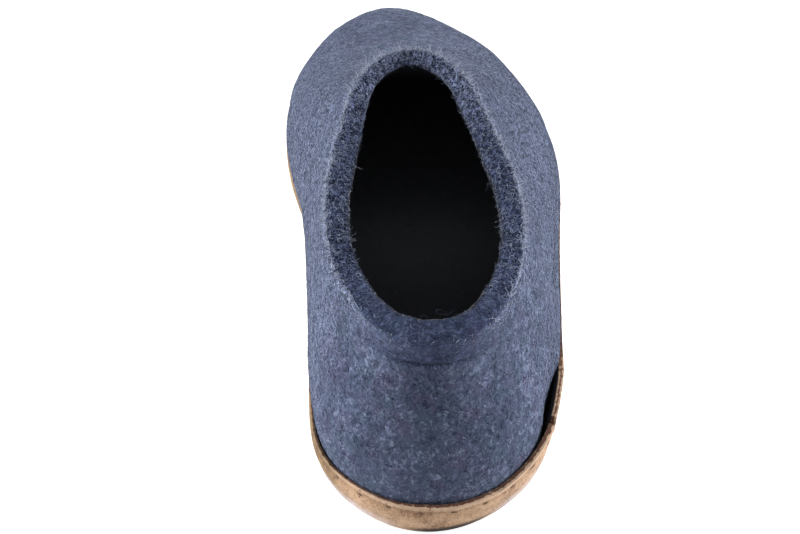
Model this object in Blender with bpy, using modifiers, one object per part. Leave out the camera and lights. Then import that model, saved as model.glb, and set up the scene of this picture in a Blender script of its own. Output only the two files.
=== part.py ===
"""Felt slipper for the right foot: a one-piece felted upper, a felt insole and a leather cup sole.

Lengths are in metres. +Y runs from heel to toe, +X to the outer side of the foot, and +Z up
from the floor. The origin is on the floor, under the middle of the slipper's box.
"""

from math import radians, sqrt, tau
from typing import NamedTuple

import bpy
import numpy as np

# Felt body at the feather line, where the upper meets the sole
LENGTH = 0.266
BALL_WIDTH = 0.104
HEEL_WIDTH = 0.082
HEEL_RADIUS = 0.0276
TOE_RADIUS = 0.0273
SWING = 0.0125

# Collar, measured on its outer edge
COLLAR_LENGTH = 0.132
COLLAR_WIDTH = 0.062
COLLAR_BACK_RADIUS = 0.022
COLLAR_FRONT_RADIUS = 0.0142
COLLAR_SETBACK = 0.010
COLLAR_OFFSET = 0.0008
COLLAR_TURN = radians(3)
COLLAR_SQUARE = 0.030
COLLAR_THIN_FROM = 0.106
HEEL_HEIGHT = 0.0725
INSTEP_HEIGHT = 0.085

# Thicknesses and fits. The felt is thinner at the front of the collar.
FELT = 0.0085
FRONT_FELT = 0.006
FELT_EDGE = 0.0012
SEAT = 0.003
INSOLE = 0.005
INSOLE_EDGE = 0.0012
LEATHER = 0.002
GAP = 0.0003

# Leather cup
LIP_HEIGHT = 0.0124
LIP_GAPE = 0.0016

# Underside: flat pads under heel and ball, an arch between them, and the toe lifted off the floor.
# The pads' ends are measured from the heel end of the felt.
ARCH = 0.0012
TOE_SPRING = 0.0055
HEEL_PAD_END = 0.080
BALL_PAD_START = 0.154
BALL_PAD_END = 0.202

# Mesh density
AROUND = 72
WALL_ROWS = 15
COLUMN_SAMPLES = 60
CORNER_STEPS = 3
LIP_ROWS = 4
EDGE_SEGMENTS = 2
SHARP_ANGLE = radians(50)


class Section(NamedTuple):
    """Half width of the felt at a share of its length, as shares of the heel's and the ball's, and its bow."""

    along: float
    heel: float
    ball: float
    bow: float


SECTIONS = (
    Section(along=0.07, heel=0.75, ball=0.00, bow=0.18),
    Section(along=0.14, heel=0.91, ball=0.00, bow=0.24),
    Section(along=0.25, heel=1.00, ball=0.00, bow=0.36),
    Section(along=0.38, heel=0.75, ball=0.23, bow=0.47),
    Section(along=0.50, heel=0.40, ball=0.555, bow=0.49),
    Section(along=0.62, heel=0.00, ball=0.98, bow=0.27),
    Section(along=0.72, heel=0.00, ball=1.00, bow=0.00),
    Section(along=0.82, heel=0.00, ball=0.915, bow=-0.34),
    Section(along=0.90, heel=0.00, ball=0.77, bow=-0.47),
    Section(along=0.96, heel=0.00, ball=0.51, bow=-0.72),
)
HEEL_BOW = 0.12
TOE_BOW = -0.94


class CollarSection(NamedTuple):
    """Half width of the collar at a share of its length, and its share of the climb from heel to instep."""

    along: float
    half: float
    climb: float


COLLAR_SECTIONS = (
    CollarSection(along=0.10, half=0.66, climb=-0.04),
    CollarSection(along=0.25, half=0.92, climb=0.11),
    CollarSection(along=0.40, half=1.00, climb=0.37),
    CollarSection(along=0.55, half=0.95, climb=0.47),
    CollarSection(along=0.70, half=0.82, climb=0.60),
    CollarSection(along=0.85, half=0.66, climb=0.83),
)


class WallSection(NamedTuple):
    """How the wall leaves the sole and reaches the collar.

    The inner and outer sides lean out at the sole and the collar leans in, all in degrees. The pulls
    are shares of the straight way from sole to collar.
    """

    along: float
    inner_lean: float
    outer_lean: float
    foot_pull: float
    collar_lean: float
    collar_pull: float


WALL_SECTIONS = (
    WallSection(along=0.00, inner_lean=10, outer_lean=10, foot_pull=0.44, collar_lean=-28, collar_pull=0.35),
    WallSection(along=0.08, inner_lean=17, outer_lean=5, foot_pull=0.44, collar_lean=-23, collar_pull=0.33),
    WallSection(along=0.20, inner_lean=13, outer_lean=6, foot_pull=0.37, collar_lean=3, collar_pull=0.31),
    WallSection(along=0.35, inner_lean=18, outer_lean=6, foot_pull=0.27, collar_lean=20, collar_pull=0.27),
    WallSection(along=0.50, inner_lean=19, outer_lean=7, foot_pull=0.31, collar_lean=22, collar_pull=0.34),
    WallSection(along=0.65, inner_lean=9, outer_lean=6, foot_pull=0.24, collar_lean=36, collar_pull=0.33),
    WallSection(along=0.80, inner_lean=3, outer_lean=5, foot_pull=0.24, collar_lean=48, collar_pull=0.37),
    WallSection(along=0.92, inner_lean=2, outer_lean=4, foot_pull=0.21, collar_lean=48, collar_pull=0.51),
    WallSection(along=1.00, inner_lean=4, outer_lean=4, foot_pull=0.31, collar_lean=43, collar_pull=0.58),
)


class LipSection(NamedTuple):
    """Height of the leather lip and how far it stands off the felt, by degrees round from the toe."""

    turn: float
    height: float
    gape: float


LIP_SECTIONS = (
    LipSection(turn=0, height=0.70, gape=0.0),
    LipSection(turn=50, height=0.64, gape=0.0),
    LipSection(turn=100, height=0.57, gape=0.0),
    LipSection(turn=118, height=0.59, gape=0.1),
    LipSection(turn=124, height=0.84, gape=1.0),
    LipSection(turn=138, height=1.00, gape=0.9),
    LipSection(turn=148, height=0.97, gape=0.2),
    LipSection(turn=160, height=0.86, gape=0.0),
    LipSection(turn=180, height=1.02, gape=0.0),
    LipSection(turn=215, height=0.86, gape=0.0),
    LipSection(turn=240, height=0.65, gape=0.0),
    LipSection(turn=280, height=0.50, gape=0.0),
    LipSection(turn=320, height=0.61, gape=0.0),
    LipSection(turn=360, height=0.70, gape=0.0),
)


class Finish(NamedTuple):
    """Colour, roughness and metallic value of one piece."""

    color: tuple[float, float, float]
    roughness: float
    metallic: float


FELT_BLUE = Finish(color=(0.105, 0.130, 0.215), roughness=0.95, metallic=0.0)
FELT_GREY = Finish(color=(0.060, 0.070, 0.100), roughness=0.95, metallic=0.0)
LEATHER_TAN = Finish(color=(0.360, 0.225, 0.140), roughness=0.70, metallic=0.0)


class Curve:
    """A natural cubic spline through values at rising places."""

    def __init__(self, places, values):
        self.places = np.array(places, float)
        self.values = np.array(values, float)
        self.steps = np.diff(self.places)
        slopes = np.diff(self.values) / self.steps
        bands = np.eye(len(self.places))
        pulls = np.zeros(len(self.places))
        for row in range(1, len(self.places) - 1):
            before, after = self.steps[row - 1], self.steps[row]
            bands[row, row - 1 : row + 2] = before, 2 * (before + after), after
            pulls[row] = 6 * (slopes[row] - slopes[row - 1])
        self.bends = np.linalg.solve(bands, pulls)

    def __call__(self, place):
        left = np.clip(np.searchsorted(self.places, place) - 1, 0, len(self.steps) - 1)
        right = left + 1
        step = self.steps[left]
        near = (self.places[right] - place) / step
        far = (place - self.places[left]) / step
        straight = near * self.values[left] + far * self.values[right]
        bend = (near**3 - near) * self.bends[left] + (far**3 - far) * self.bends[right]
        return straight + bend * step**2 / 6


def column(rows, name):
    """One named column of a table."""
    return [getattr(row, name) for row in rows]


def oval(turns, length, heel_radius, toe_radius, places, halves):
    """Plan points of an egg-shaped ring about its middle, from its toe end round by the outer side."""
    along = (1 + np.cos(turns)) / 2
    fullness = [half / (2 * sqrt(at * (1 - at))) for at, half in zip(places, halves)]
    heel_end = sqrt(heel_radius * length / 2)
    toe_end = sqrt(toe_radius * length / 2)
    curve = Curve([0, *places, 1], [heel_end, *fullness, toe_end])
    return curve(along) * np.sin(turns), length * (along - 0.5)


def outward(ring):
    """Level unit vectors that point out of a ring that runs clockwise, seen from above."""
    run = np.roll(ring, -1, axis=0) - np.roll(ring, 1, axis=0)
    level = np.stack([-run[:, 1], run[:, 0], np.zeros(len(ring))], axis=1)
    return level / np.linalg.norm(level, axis=1, keepdims=True)


def lift(y):
    """Height of the underside above the floor: none under the pads, some at the arch and the toe."""
    along = y + LENGTH / 2
    waist = np.clip((along - HEEL_PAD_END) / (BALL_PAD_START - HEEL_PAD_END), 0, 1)
    toe = np.clip((along - BALL_PAD_END) / (LENGTH - BALL_PAD_END), 0, None)
    return ARCH * np.sin(waist * tau / 2) ** 2 + TOE_SPRING * toe**2


class Last:
    """The felt's outer face: at each turn a cubic curve from the sole up to the collar."""

    UP = np.array([0.0, 0.0, 1.0])

    def __init__(self):
        self.turns = np.arange(AROUND) * tau / AROUND
        self.along = (1 + np.cos(self.turns)) / 2
        self.feather = self.feather_line()
        self.collar = self.collar_line()
        self.handles()

    def feather_line(self):
        """Outline of the felt where it stands in the sole."""
        halves = [row.heel * HEEL_WIDTH / 2 + row.ball * BALL_WIDTH / 2 for row in SECTIONS]
        places = column(SECTIONS, "along")
        x, y = oval(self.turns, LENGTH, HEEL_RADIUS, TOE_RADIUS, places, halves)
        bow = Curve([0, *places, 1], [HEEL_BOW, *column(SECTIONS, "bow"), TOE_BOW])
        return np.stack([x + SWING * bow(self.along), y, LEATHER + GAP + lift(y)], axis=1)

    def collar_line(self):
        """Outer edge of the collar, turned a little to the inner side."""
        places = column(COLLAR_SECTIONS, "along")
        halves = [row.half * COLLAR_WIDTH / 2 for row in COLLAR_SECTIONS]
        x, y = oval(self.turns, COLLAR_LENGTH, COLLAR_BACK_RADIUS, COLLAR_FRONT_RADIUS, places, halves)
        climb = Curve([0, *places, 1], [0, *column(COLLAR_SECTIONS, "climb"), 1])
        middle = COLLAR_SETBACK + (COLLAR_LENGTH - LENGTH) / 2
        turned_x = x * np.cos(COLLAR_TURN) - y * np.sin(COLLAR_TURN) + COLLAR_OFFSET
        turned_y = x * np.sin(COLLAR_TURN) + y * np.cos(COLLAR_TURN) + middle
        height = HEEL_HEIGHT + (INSTEP_HEIGHT - HEEL_HEIGHT) * climb(self.along)
        return np.stack([turned_x, turned_y, height], axis=1)

    def handles(self):
        """Control points of the cubic curves, from the wall table.

        The wall leaves the collar between square to its edge and straight for its foot, and the further
        off the foot is, the more it heads there.
        """
        places = column(WALL_SECTIONS, "along")
        read = {name: Curve(places, column(WALL_SECTIONS, name))(self.along) for name in WallSection._fields}
        outer = (1 + np.sin(self.turns)) / 2
        lean = np.radians(read["inner_lean"] * (1 - outer) + read["outer_lean"] * outer)[:, None]
        tilt = np.radians(read["collar_lean"])[:, None]
        self.seat = self.feather + SEAT * self.UP
        way = np.linalg.norm(self.collar - self.seat, axis=1)
        foot_pull = (way * read["foot_pull"])[:, None]
        collar_pull = (way * read["collar_pull"])[:, None]
        out_low = outward(self.feather)
        out_high = outward(self.collar) * COLLAR_SQUARE + (self.seat - self.collar) * [1, 1, 0]
        out_high /= np.linalg.norm(out_high, axis=1, keepdims=True)
        self.low = self.seat + foot_pull * (out_low * np.sin(lean) + self.UP * np.cos(lean))
        self.high = self.collar + collar_pull * (out_high * np.sin(tilt) - self.UP * np.cos(tilt))

    def ring(self, share):
        """Ring of the face at a share of the way from its seat in the sole to the collar."""
        rest = 1 - share
        return (
            rest**3 * self.seat
            + 3 * rest**2 * share * self.low
            + 3 * rest * share**2 * self.high
            + share**3 * self.collar
        )

    def rings(self, steps):
        """The upright foot and the wall above it, ring by ring."""
        return np.array([self.feather, *(self.ring(step / steps) for step in range(steps + 1))])

    def at_heights(self, heights, stand_off):
        """Points at a height above the feather line at each turn, moved off the face by stand_off."""
        face = self.rings(COLUMN_SAMPLES)
        climbs = face[:, :, 2] - self.feather[:, 2]
        points = np.empty((AROUND, 3))
        for turn in range(AROUND):
            for axis in range(3):
                points[turn, axis] = np.interp(heights[turn], climbs[:, turn], face[:, turn, axis])
        return points + outward(self.feather) * np.asarray(stand_off)[:, None]


def skin(rings):
    """Quads that join neighbouring rings, facing out of the slipper."""
    count = len(rings[0])
    faces = []
    for level in range(len(rings) - 1):
        for turn in range(count):
            after = (turn + 1) % count
            low, high = level * count, (level + 1) * count
            faces.append((low + turn, high + turn, high + after, low + after))
    return faces


def floor_faces(count):
    """Faces across a ring, from its outer to its inner side, facing down."""
    faces = [(0, 1, count - 1)]
    for turn in range(1, count // 2 - 1):
        faces.append((turn, turn + 1, count - turn - 1, count - turn))
    heel = count // 2
    faces.append((heel - 1, heel, heel + 1))
    return faces


def material(name, finish):
    """A plain material for one piece."""
    made = bpy.data.materials.new(name)
    made.use_nodes = True
    shader = made.node_tree.nodes["Principled BSDF"]
    shader.inputs["Base Color"].default_value = (*finish.color, 1)
    shader.inputs["Roughness"].default_value = finish.roughness
    shader.inputs["Metallic"].default_value = finish.metallic
    return made


def add_sheet(name, points, faces, finish, collection):
    """An open sheet as an object, to be given its thickness."""
    mesh = bpy.data.meshes.new(name)
    mesh.from_pydata([tuple(point) for point in np.concatenate(points)], [], faces)
    mesh.validate()
    mesh.shade_smooth()
    mesh.set_sharp_from_angle(angle=SHARP_ANGLE)
    mesh.materials.append(material(name, finish))
    sheet = bpy.data.objects.new(name, mesh)
    collection.objects.link(sheet)
    return sheet


def thicken(sheet, thickness, outwards):
    """Wall thickness, laid on the outside or the inside of a sheet, and the modifier that makes it."""
    solidify = sheet.modifiers.new("Thickness", "SOLIDIFY")
    solidify.thickness = thickness
    solidify.offset = 1 if outwards else -1
    solidify.use_even_offset = True
    solidify.use_quality_normals = True
    return solidify


def thin_front(upper, last, thickness):
    """Lets the wall thin towards the front of the collar."""
    group = upper.vertex_groups.new(name="full_thickness")
    ahead = np.clip((last.along * COLLAR_LENGTH - COLLAR_THIN_FROM) / (COLLAR_LENGTH - COLLAR_THIN_FROM), 0, 1)
    for row in range(WALL_ROWS + 2):
        up = max(row - 1, 0) / WALL_ROWS
        for turn in range(AROUND):
            group.add([row * AROUND + turn], 1 - up**2 * ahead[turn], "REPLACE")
    thickness.vertex_group = group.name
    thickness.thickness_vertex_group = FRONT_FELT / FELT


def round_edges(sheet, width):
    """Rounding of the sharp edges."""
    bevel = sheet.modifiers.new("Edges", "BEVEL")
    bevel.width = width
    bevel.segments = EDGE_SEGMENTS
    bevel.use_clamp_overlap = False
    bevel.limit_method = "ANGLE"
    bevel.angle_limit = SHARP_ANGLE


def build_upper(last, collection):
    """The felted upper: one hollow wall, open at the collar and underneath."""
    rings = last.rings(WALL_ROWS)
    upper = add_sheet("upper", rings, skin(rings), FELT_BLUE, collection)
    thin_front(upper, last, thicken(upper, FELT, outwards=False))
    round_edges(upper, FELT_EDGE)


def build_insole(last, collection):
    """The felt insole, lying on the sole inside the upper's wall."""
    ring = last.feather - outward(last.feather) * (FELT + GAP)
    ring[:, 2] = LEATHER + GAP + lift(ring[:, 1])
    insole = add_sheet("insole", [ring], floor_faces(AROUND), FELT_GREY, collection)
    thicken(insole, INSOLE, outwards=False)
    round_edges(insole, INSOLE_EDGE)


def build_sole(last, collection):
    """The leather sole: a flat bottom with a round corner and a lip turned up round the felt."""
    degrees = np.degrees(last.turns)
    turns = column(LIP_SECTIONS, "turn")
    lip = LIP_HEIGHT * np.interp(degrees, turns, column(LIP_SECTIONS, "height"))
    gape = LIP_GAPE * np.interp(degrees, turns, column(LIP_SECTIONS, "gape"))
    corner = FELT_EDGE + GAP
    rings = []
    for step in range(CORNER_STEPS):
        angle = step / CORNER_STEPS * tau / 4
        height = np.full(AROUND, corner * (1 - np.cos(angle)))
        rings.append(last.at_heights(height, np.full(AROUND, GAP - corner * (1 - np.sin(angle)))))
    for step in range(LIP_ROWS + 1):
        share = step / LIP_ROWS
        rings.append(last.at_heights(corner + (lip - corner) * share, GAP + gape * share**2))
    for ring in rings:
        ring[:, 2] -= GAP
    rings[0][:, 2] = LEATHER + lift(rings[0][:, 1])
    faces = floor_faces(AROUND) + skin(rings)
    sole = add_sheet("sole", rings, faces, LEATHER_TAN, collection)
    thicken(sole, LEATHER, outwards=True)


def centre_on_origin(collection):
    """Moves the slipper so that the origin is under the middle of its box."""
    bpy.context.view_layer.update()
    graph = bpy.context.evaluated_depsgraph_get()
    corners = []
    for piece in collection.objects:
        corners += [vertex.co.copy() for vertex in piece.evaluated_get(graph).data.vertices]
    shifts = [(min(side) + max(side)) / 2 for side in zip(*corners)]
    for piece in collection.objects:
        for vertex in piece.data.vertices:
            vertex.co.x -= shifts[0]
            vertex.co.y -= shifts[1]


def main():
    for leftover in list(bpy.data.objects):
        bpy.data.objects.remove(leftover)
    collection = bpy.data.collections.new("felt_slipper")
    bpy.context.scene.collection.children.link(collection)
    last = Last()
    build_upper(last, collection)
    build_insole(last, collection)
    build_sole(last, collection)
    centre_on_origin(collection)


main()
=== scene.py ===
"""Felt slipper for the right foot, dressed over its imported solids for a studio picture.

Lengths are in metres. +Y runs from heel to toe, +X to the outer side of the foot and +Z up.
"""

from __future__ import annotations

import logging
import math
from dataclasses import dataclass, field
from enum import Enum

import bmesh
import bpy
import numpy as np
from mathutils import Matrix, Vector, noise
from mathutils.bvhtree import BVHTree
from mathutils.kdtree import KDTree

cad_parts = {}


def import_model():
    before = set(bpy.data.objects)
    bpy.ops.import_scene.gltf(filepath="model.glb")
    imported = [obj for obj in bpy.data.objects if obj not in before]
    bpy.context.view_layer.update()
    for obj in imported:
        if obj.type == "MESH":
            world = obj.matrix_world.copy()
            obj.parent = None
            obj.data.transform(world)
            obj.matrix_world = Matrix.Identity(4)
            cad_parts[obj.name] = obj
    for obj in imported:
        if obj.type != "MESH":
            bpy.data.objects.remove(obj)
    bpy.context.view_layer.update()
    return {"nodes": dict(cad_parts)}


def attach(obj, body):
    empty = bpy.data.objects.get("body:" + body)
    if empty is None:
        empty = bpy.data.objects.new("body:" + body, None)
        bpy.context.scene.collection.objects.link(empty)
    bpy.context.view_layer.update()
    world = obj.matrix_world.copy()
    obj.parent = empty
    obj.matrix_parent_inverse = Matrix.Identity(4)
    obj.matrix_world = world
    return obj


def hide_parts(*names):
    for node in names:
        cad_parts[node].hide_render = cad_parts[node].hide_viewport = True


Color = tuple[float, float, float]
Span = tuple[float, float]
Triple = tuple[float, float, float]
Output = bpy.types.NodeSocket

BODY = "root"
UP = np.array([0.0, 0.0, 1.0])
IMAGE_WIDTH = 800
SENSOR = 36.0
LOOP_STEP = 0.00033
MERGE_WITHIN = 0.00001
QUAD_FACE_ANGLE = math.radians(45)
QUAD_SHAPE_ANGLE = math.radians(60)
TINY = 1e-12
OBLIQUE = np.array([0.31, 0.22, 0.93])

log = logging.getLogger("slipper")


class Zone(Enum):
    """Which side of a wall a face belongs to."""

    OUTER = 0
    INNER = 1
    CUT = 2
    FOOT = 3


def deselect_all() -> None:
    """Leaves nothing selected."""
    for piece in bpy.context.selected_objects:
        piece.select_set(False)


def activate(piece: bpy.types.Object) -> None:
    """Selects one piece alone and makes it the active one.

    Args:
        piece: The piece to work on.
    """
    deselect_all()
    piece.select_set(True)
    bpy.context.view_layer.objects.active = piece


def edit(piece: bpy.types.Object, select_mode: str) -> None:
    """Opens a piece in edit mode with nothing selected.

    Args:
        piece: The piece to open.
        select_mode: VERT, EDGE or FACE.
    """
    activate(piece)
    bpy.ops.object.mode_set(mode="EDIT")
    bpy.ops.mesh.select_mode(type=select_mode)
    bpy.ops.mesh.select_all(action="DESELECT")


def leave_edit() -> None:
    """Goes back to object mode."""
    bpy.ops.object.mode_set(mode="OBJECT")


def apply_modifier(piece: bpy.types.Object, kind: str, **settings: float | str) -> None:
    """Adds a modifier with its settings and applies it.

    Args:
        piece: The piece that it works on.
        kind: The modifier's type.
        settings: Its properties by name.
    """
    activate(piece)
    modifier = piece.modifiers.new(kind.title(), kind)
    for name, value in settings.items():
        setattr(modifier, name, value)
    bpy.ops.object.modifier_apply(modifier=modifier.name)


def copy_of_node(node: bpy.types.Object, name: str) -> bpy.types.Object:
    """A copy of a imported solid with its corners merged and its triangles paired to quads.

    Args:
        node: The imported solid.
        name: Name of the new piece.

    Returns:
        The new piece, without a material.
    """
    piece = bpy.data.objects.new(name, node.data.copy())
    piece.data.name = name
    piece.data.materials.clear()
    bpy.context.scene.collection.objects.link(piece)
    edit(piece, "VERT")
    bpy.ops.mesh.select_all(action="SELECT")
    bpy.ops.mesh.customdata_custom_splitnormals_clear()
    bpy.ops.mesh.remove_doubles(threshold=MERGE_WITHIN)
    bpy.ops.mesh.tris_convert_to_quads(face_threshold=QUAD_FACE_ANGLE, shape_threshold=QUAD_SHAPE_ANGLE)
    leave_edit()
    return piece


def corners(piece: bpy.types.Object) -> np.ndarray:
    """Vertex places of a piece, a row for each vertex."""
    flat = np.empty(len(piece.data.vertices) * 3, np.float32)
    piece.data.vertices.foreach_get("co", flat)
    return flat.reshape(-1, 3).astype(float)


def directions(piece: bpy.types.Object) -> np.ndarray:
    """Vertex normals of a piece, a row for each vertex."""
    flat = np.empty(len(piece.data.vertices) * 3, np.float32)
    piece.data.vertex_normals.foreach_get("vector", flat)
    return flat.reshape(-1, 3).astype(float)


def unit(rows: np.ndarray, least: float = 0.0) -> np.ndarray:
    """Vectors made one long; least keeps those of no length finite."""
    return rows / (np.linalg.norm(rows, axis=-1, keepdims=True) + least)


def bell(values: np.ndarray, width: float, power: int = 2) -> np.ndarray:
    """A hump that is 1 at 0 and falls off over a width."""
    return np.exp(-((values / width) ** power))


def move_to(piece: bpy.types.Object, places: np.ndarray) -> None:
    """Sets all vertex places of a piece."""
    piece.data.vertices.foreach_set("co", places.astype(np.float32).ravel())
    piece.data.update()


def paint(piece: bpy.types.Object, marks: dict[str, np.ndarray]) -> None:
    """Stores numbers for each vertex, for the material to read.

    Args:
        piece: The piece to mark.
        marks: For each attribute's name, a value for each vertex.
    """
    for name, values in marks.items():
        attribute = piece.data.attributes.new(name, "FLOAT", "POINT")
        attribute.data.foreach_set("value", values.astype(np.float32))


def rise(values: np.ndarray, start: float, end: float) -> np.ndarray:
    """Smooth step from 0 at start to 1 at end, which may lie either way round."""
    share = np.clip((values - start) / (end - start), 0, 1)
    return share * share * (3 - 2 * share)


def lifted(floor: float, share: np.ndarray) -> np.ndarray:
    """A share that runs from a floor up to 1 instead of from 0."""
    return floor + (1 - floor) * share


def lumps(places: np.ndarray, size: float, seed: float) -> np.ndarray:
    """Even noise of about -1 to 1 with lumps of a given size.

    Args:
        places: Where to read it, a row for each.
        size: Width of a lump.
        seed: Shifts the pattern.

    Returns:
        A value for each place.
    """
    shift = Vector((seed, seed * 1.7, seed * 0.6))
    return np.array([noise.noise(Vector(place) / size + shift) for place in places])


@dataclass
class Skin:
    """The zones of a packed wall's faces, for marking a denser copy of it."""

    piece: bpy.types.Object
    sharpness: float
    outer_seed: Vector
    inner_seed: Vector
    cut_above: float
    tree: BVHTree = field(init=False)
    zones: np.ndarray = field(init=False)

    def __post_init__(self) -> None:
        """Sorts the faces and builds the search tree."""
        mesh = self.piece.data
        self.zones = np.full(len(mesh.polygons), Zone.FOOT.value)
        for index, face in enumerate(mesh.polygons):
            if face.center.z > self.cut_above:
                self.zones[index] = Zone.CUT.value
        self.flood(self.outer_seed, Zone.OUTER)
        self.flood(self.inner_seed, Zone.INNER)
        self.tree = BVHTree.FromPolygons(
            [vertex.co.copy() for vertex in mesh.vertices],
            [tuple(face.vertices) for face in mesh.polygons],
        )

    def flood(self, seed: Vector, zone: Zone) -> None:
        """Marks the face nearest to a seed and all that joins it without a sharp edge."""
        mesh = self.piece.data
        nearest = min(mesh.polygons, key=lambda face: (face.center - seed).length).index
        edit(self.piece, "FACE")
        leave_edit()
        mesh.polygons[nearest].select = True
        bpy.ops.object.mode_set(mode="EDIT")
        bpy.ops.mesh.faces_select_linked_flat(sharpness=self.sharpness)
        leave_edit()
        chosen = np.empty(len(mesh.polygons), bool)
        mesh.polygons.foreach_get("select", chosen)
        self.zones[chosen] = zone.value

    def border(self, first: Zone, second: Zone) -> np.ndarray:
        """The edge loop between two zones as evenly dense points, sorted round the middle.

        Args:
            first: Zone on one side.
            second: Zone on the other side.

        Returns:
            Points round the loop, about a third of a millimetre apart, clockwise from the toe.
        """
        sides: dict[tuple[int, int], set[int]] = {}
        for face, zone in zip(self.piece.data.polygons, self.zones):
            for key in face.edge_keys:
                sides.setdefault(key, set()).add(int(zone))
        wanted = {first.value, second.value}
        ends = {end for key, zones in sides.items() if zones == wanted for end in key}
        points = np.array([self.piece.data.vertices[end].co[:] for end in ends])
        middle = (points.max(0) + points.min(0)) / 2
        order = np.argsort(np.arctan2(points[:, 0] - middle[0], points[:, 1] - middle[1]))
        return round_off(points[order], LOOP_STEP)

    def zone_of(self, places: np.ndarray) -> np.ndarray:
        """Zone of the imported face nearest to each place."""
        return np.array([self.zones[self.tree.find_nearest(Vector(place))[2]] for place in places])


def round_off(points: np.ndarray, spacing: float) -> np.ndarray:
    """A closed loop through points, evenly dense, with the points' chords rounded.

    Args:
        points: The loop's points in order.
        spacing: Distance between the new points.

    Returns:
        The new points.
    """
    ahead = np.roll(points, -1, axis=0)
    behind = np.roll(points, 1, axis=0)
    further = np.roll(points, -2, axis=0)
    dense = []
    for share in np.linspace(0, 1, 16, endpoint=False):
        square, cube = share**2, share**3
        dense.append(
            0.5
            * (
                2 * points
                + (ahead - behind) * share
                + (2 * behind - 5 * points + 4 * ahead - further) * square
                + (3 * points - behind - 3 * ahead + further) * cube
            )
        )
    loop = np.stack(dense, axis=1).reshape(-1, 3)
    closed = np.vstack([loop, loop[:1]])
    way = np.concatenate([[0], np.cumsum(np.linalg.norm(np.diff(closed, axis=0), axis=1))])
    steps = np.arange(0, way[-1], spacing)
    return np.stack([np.interp(steps, way, closed[:, axis]) for axis in range(3)], axis=1)


@dataclass
class Loop:
    """A closed line with a quick search for its nearest point."""

    points: np.ndarray
    tree: KDTree = field(init=False)

    def __post_init__(self) -> None:
        """Fills the search tree."""
        self.tree = KDTree(len(self.points))
        for index, point in enumerate(self.points):
            self.tree.insert(Vector(point), index)
        self.tree.balance()

    def nearest(self, places: np.ndarray) -> tuple[np.ndarray, np.ndarray]:
        """Index of the nearest point and the distance to it, for each place."""
        found = [self.tree.find(Vector(place)) for place in places]
        return np.array([hit[1] for hit in found]), np.array([hit[2] for hit in found])


@dataclass(frozen=True)
class Layer:
    """One layer of noise in the felt, drawn out and turned.

    The grain is how many lumps go to the metre, or a share of the felt's own flecks.
    """

    grain: float
    detail: float = 2.0
    rough: float = 0.6
    twist: float = 0.0
    drawn: Triple = (1.0, 1.0, 1.0)
    turn: Triple = (0.0, 0.0, 0.0)
    by_fleck: bool = True


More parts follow.
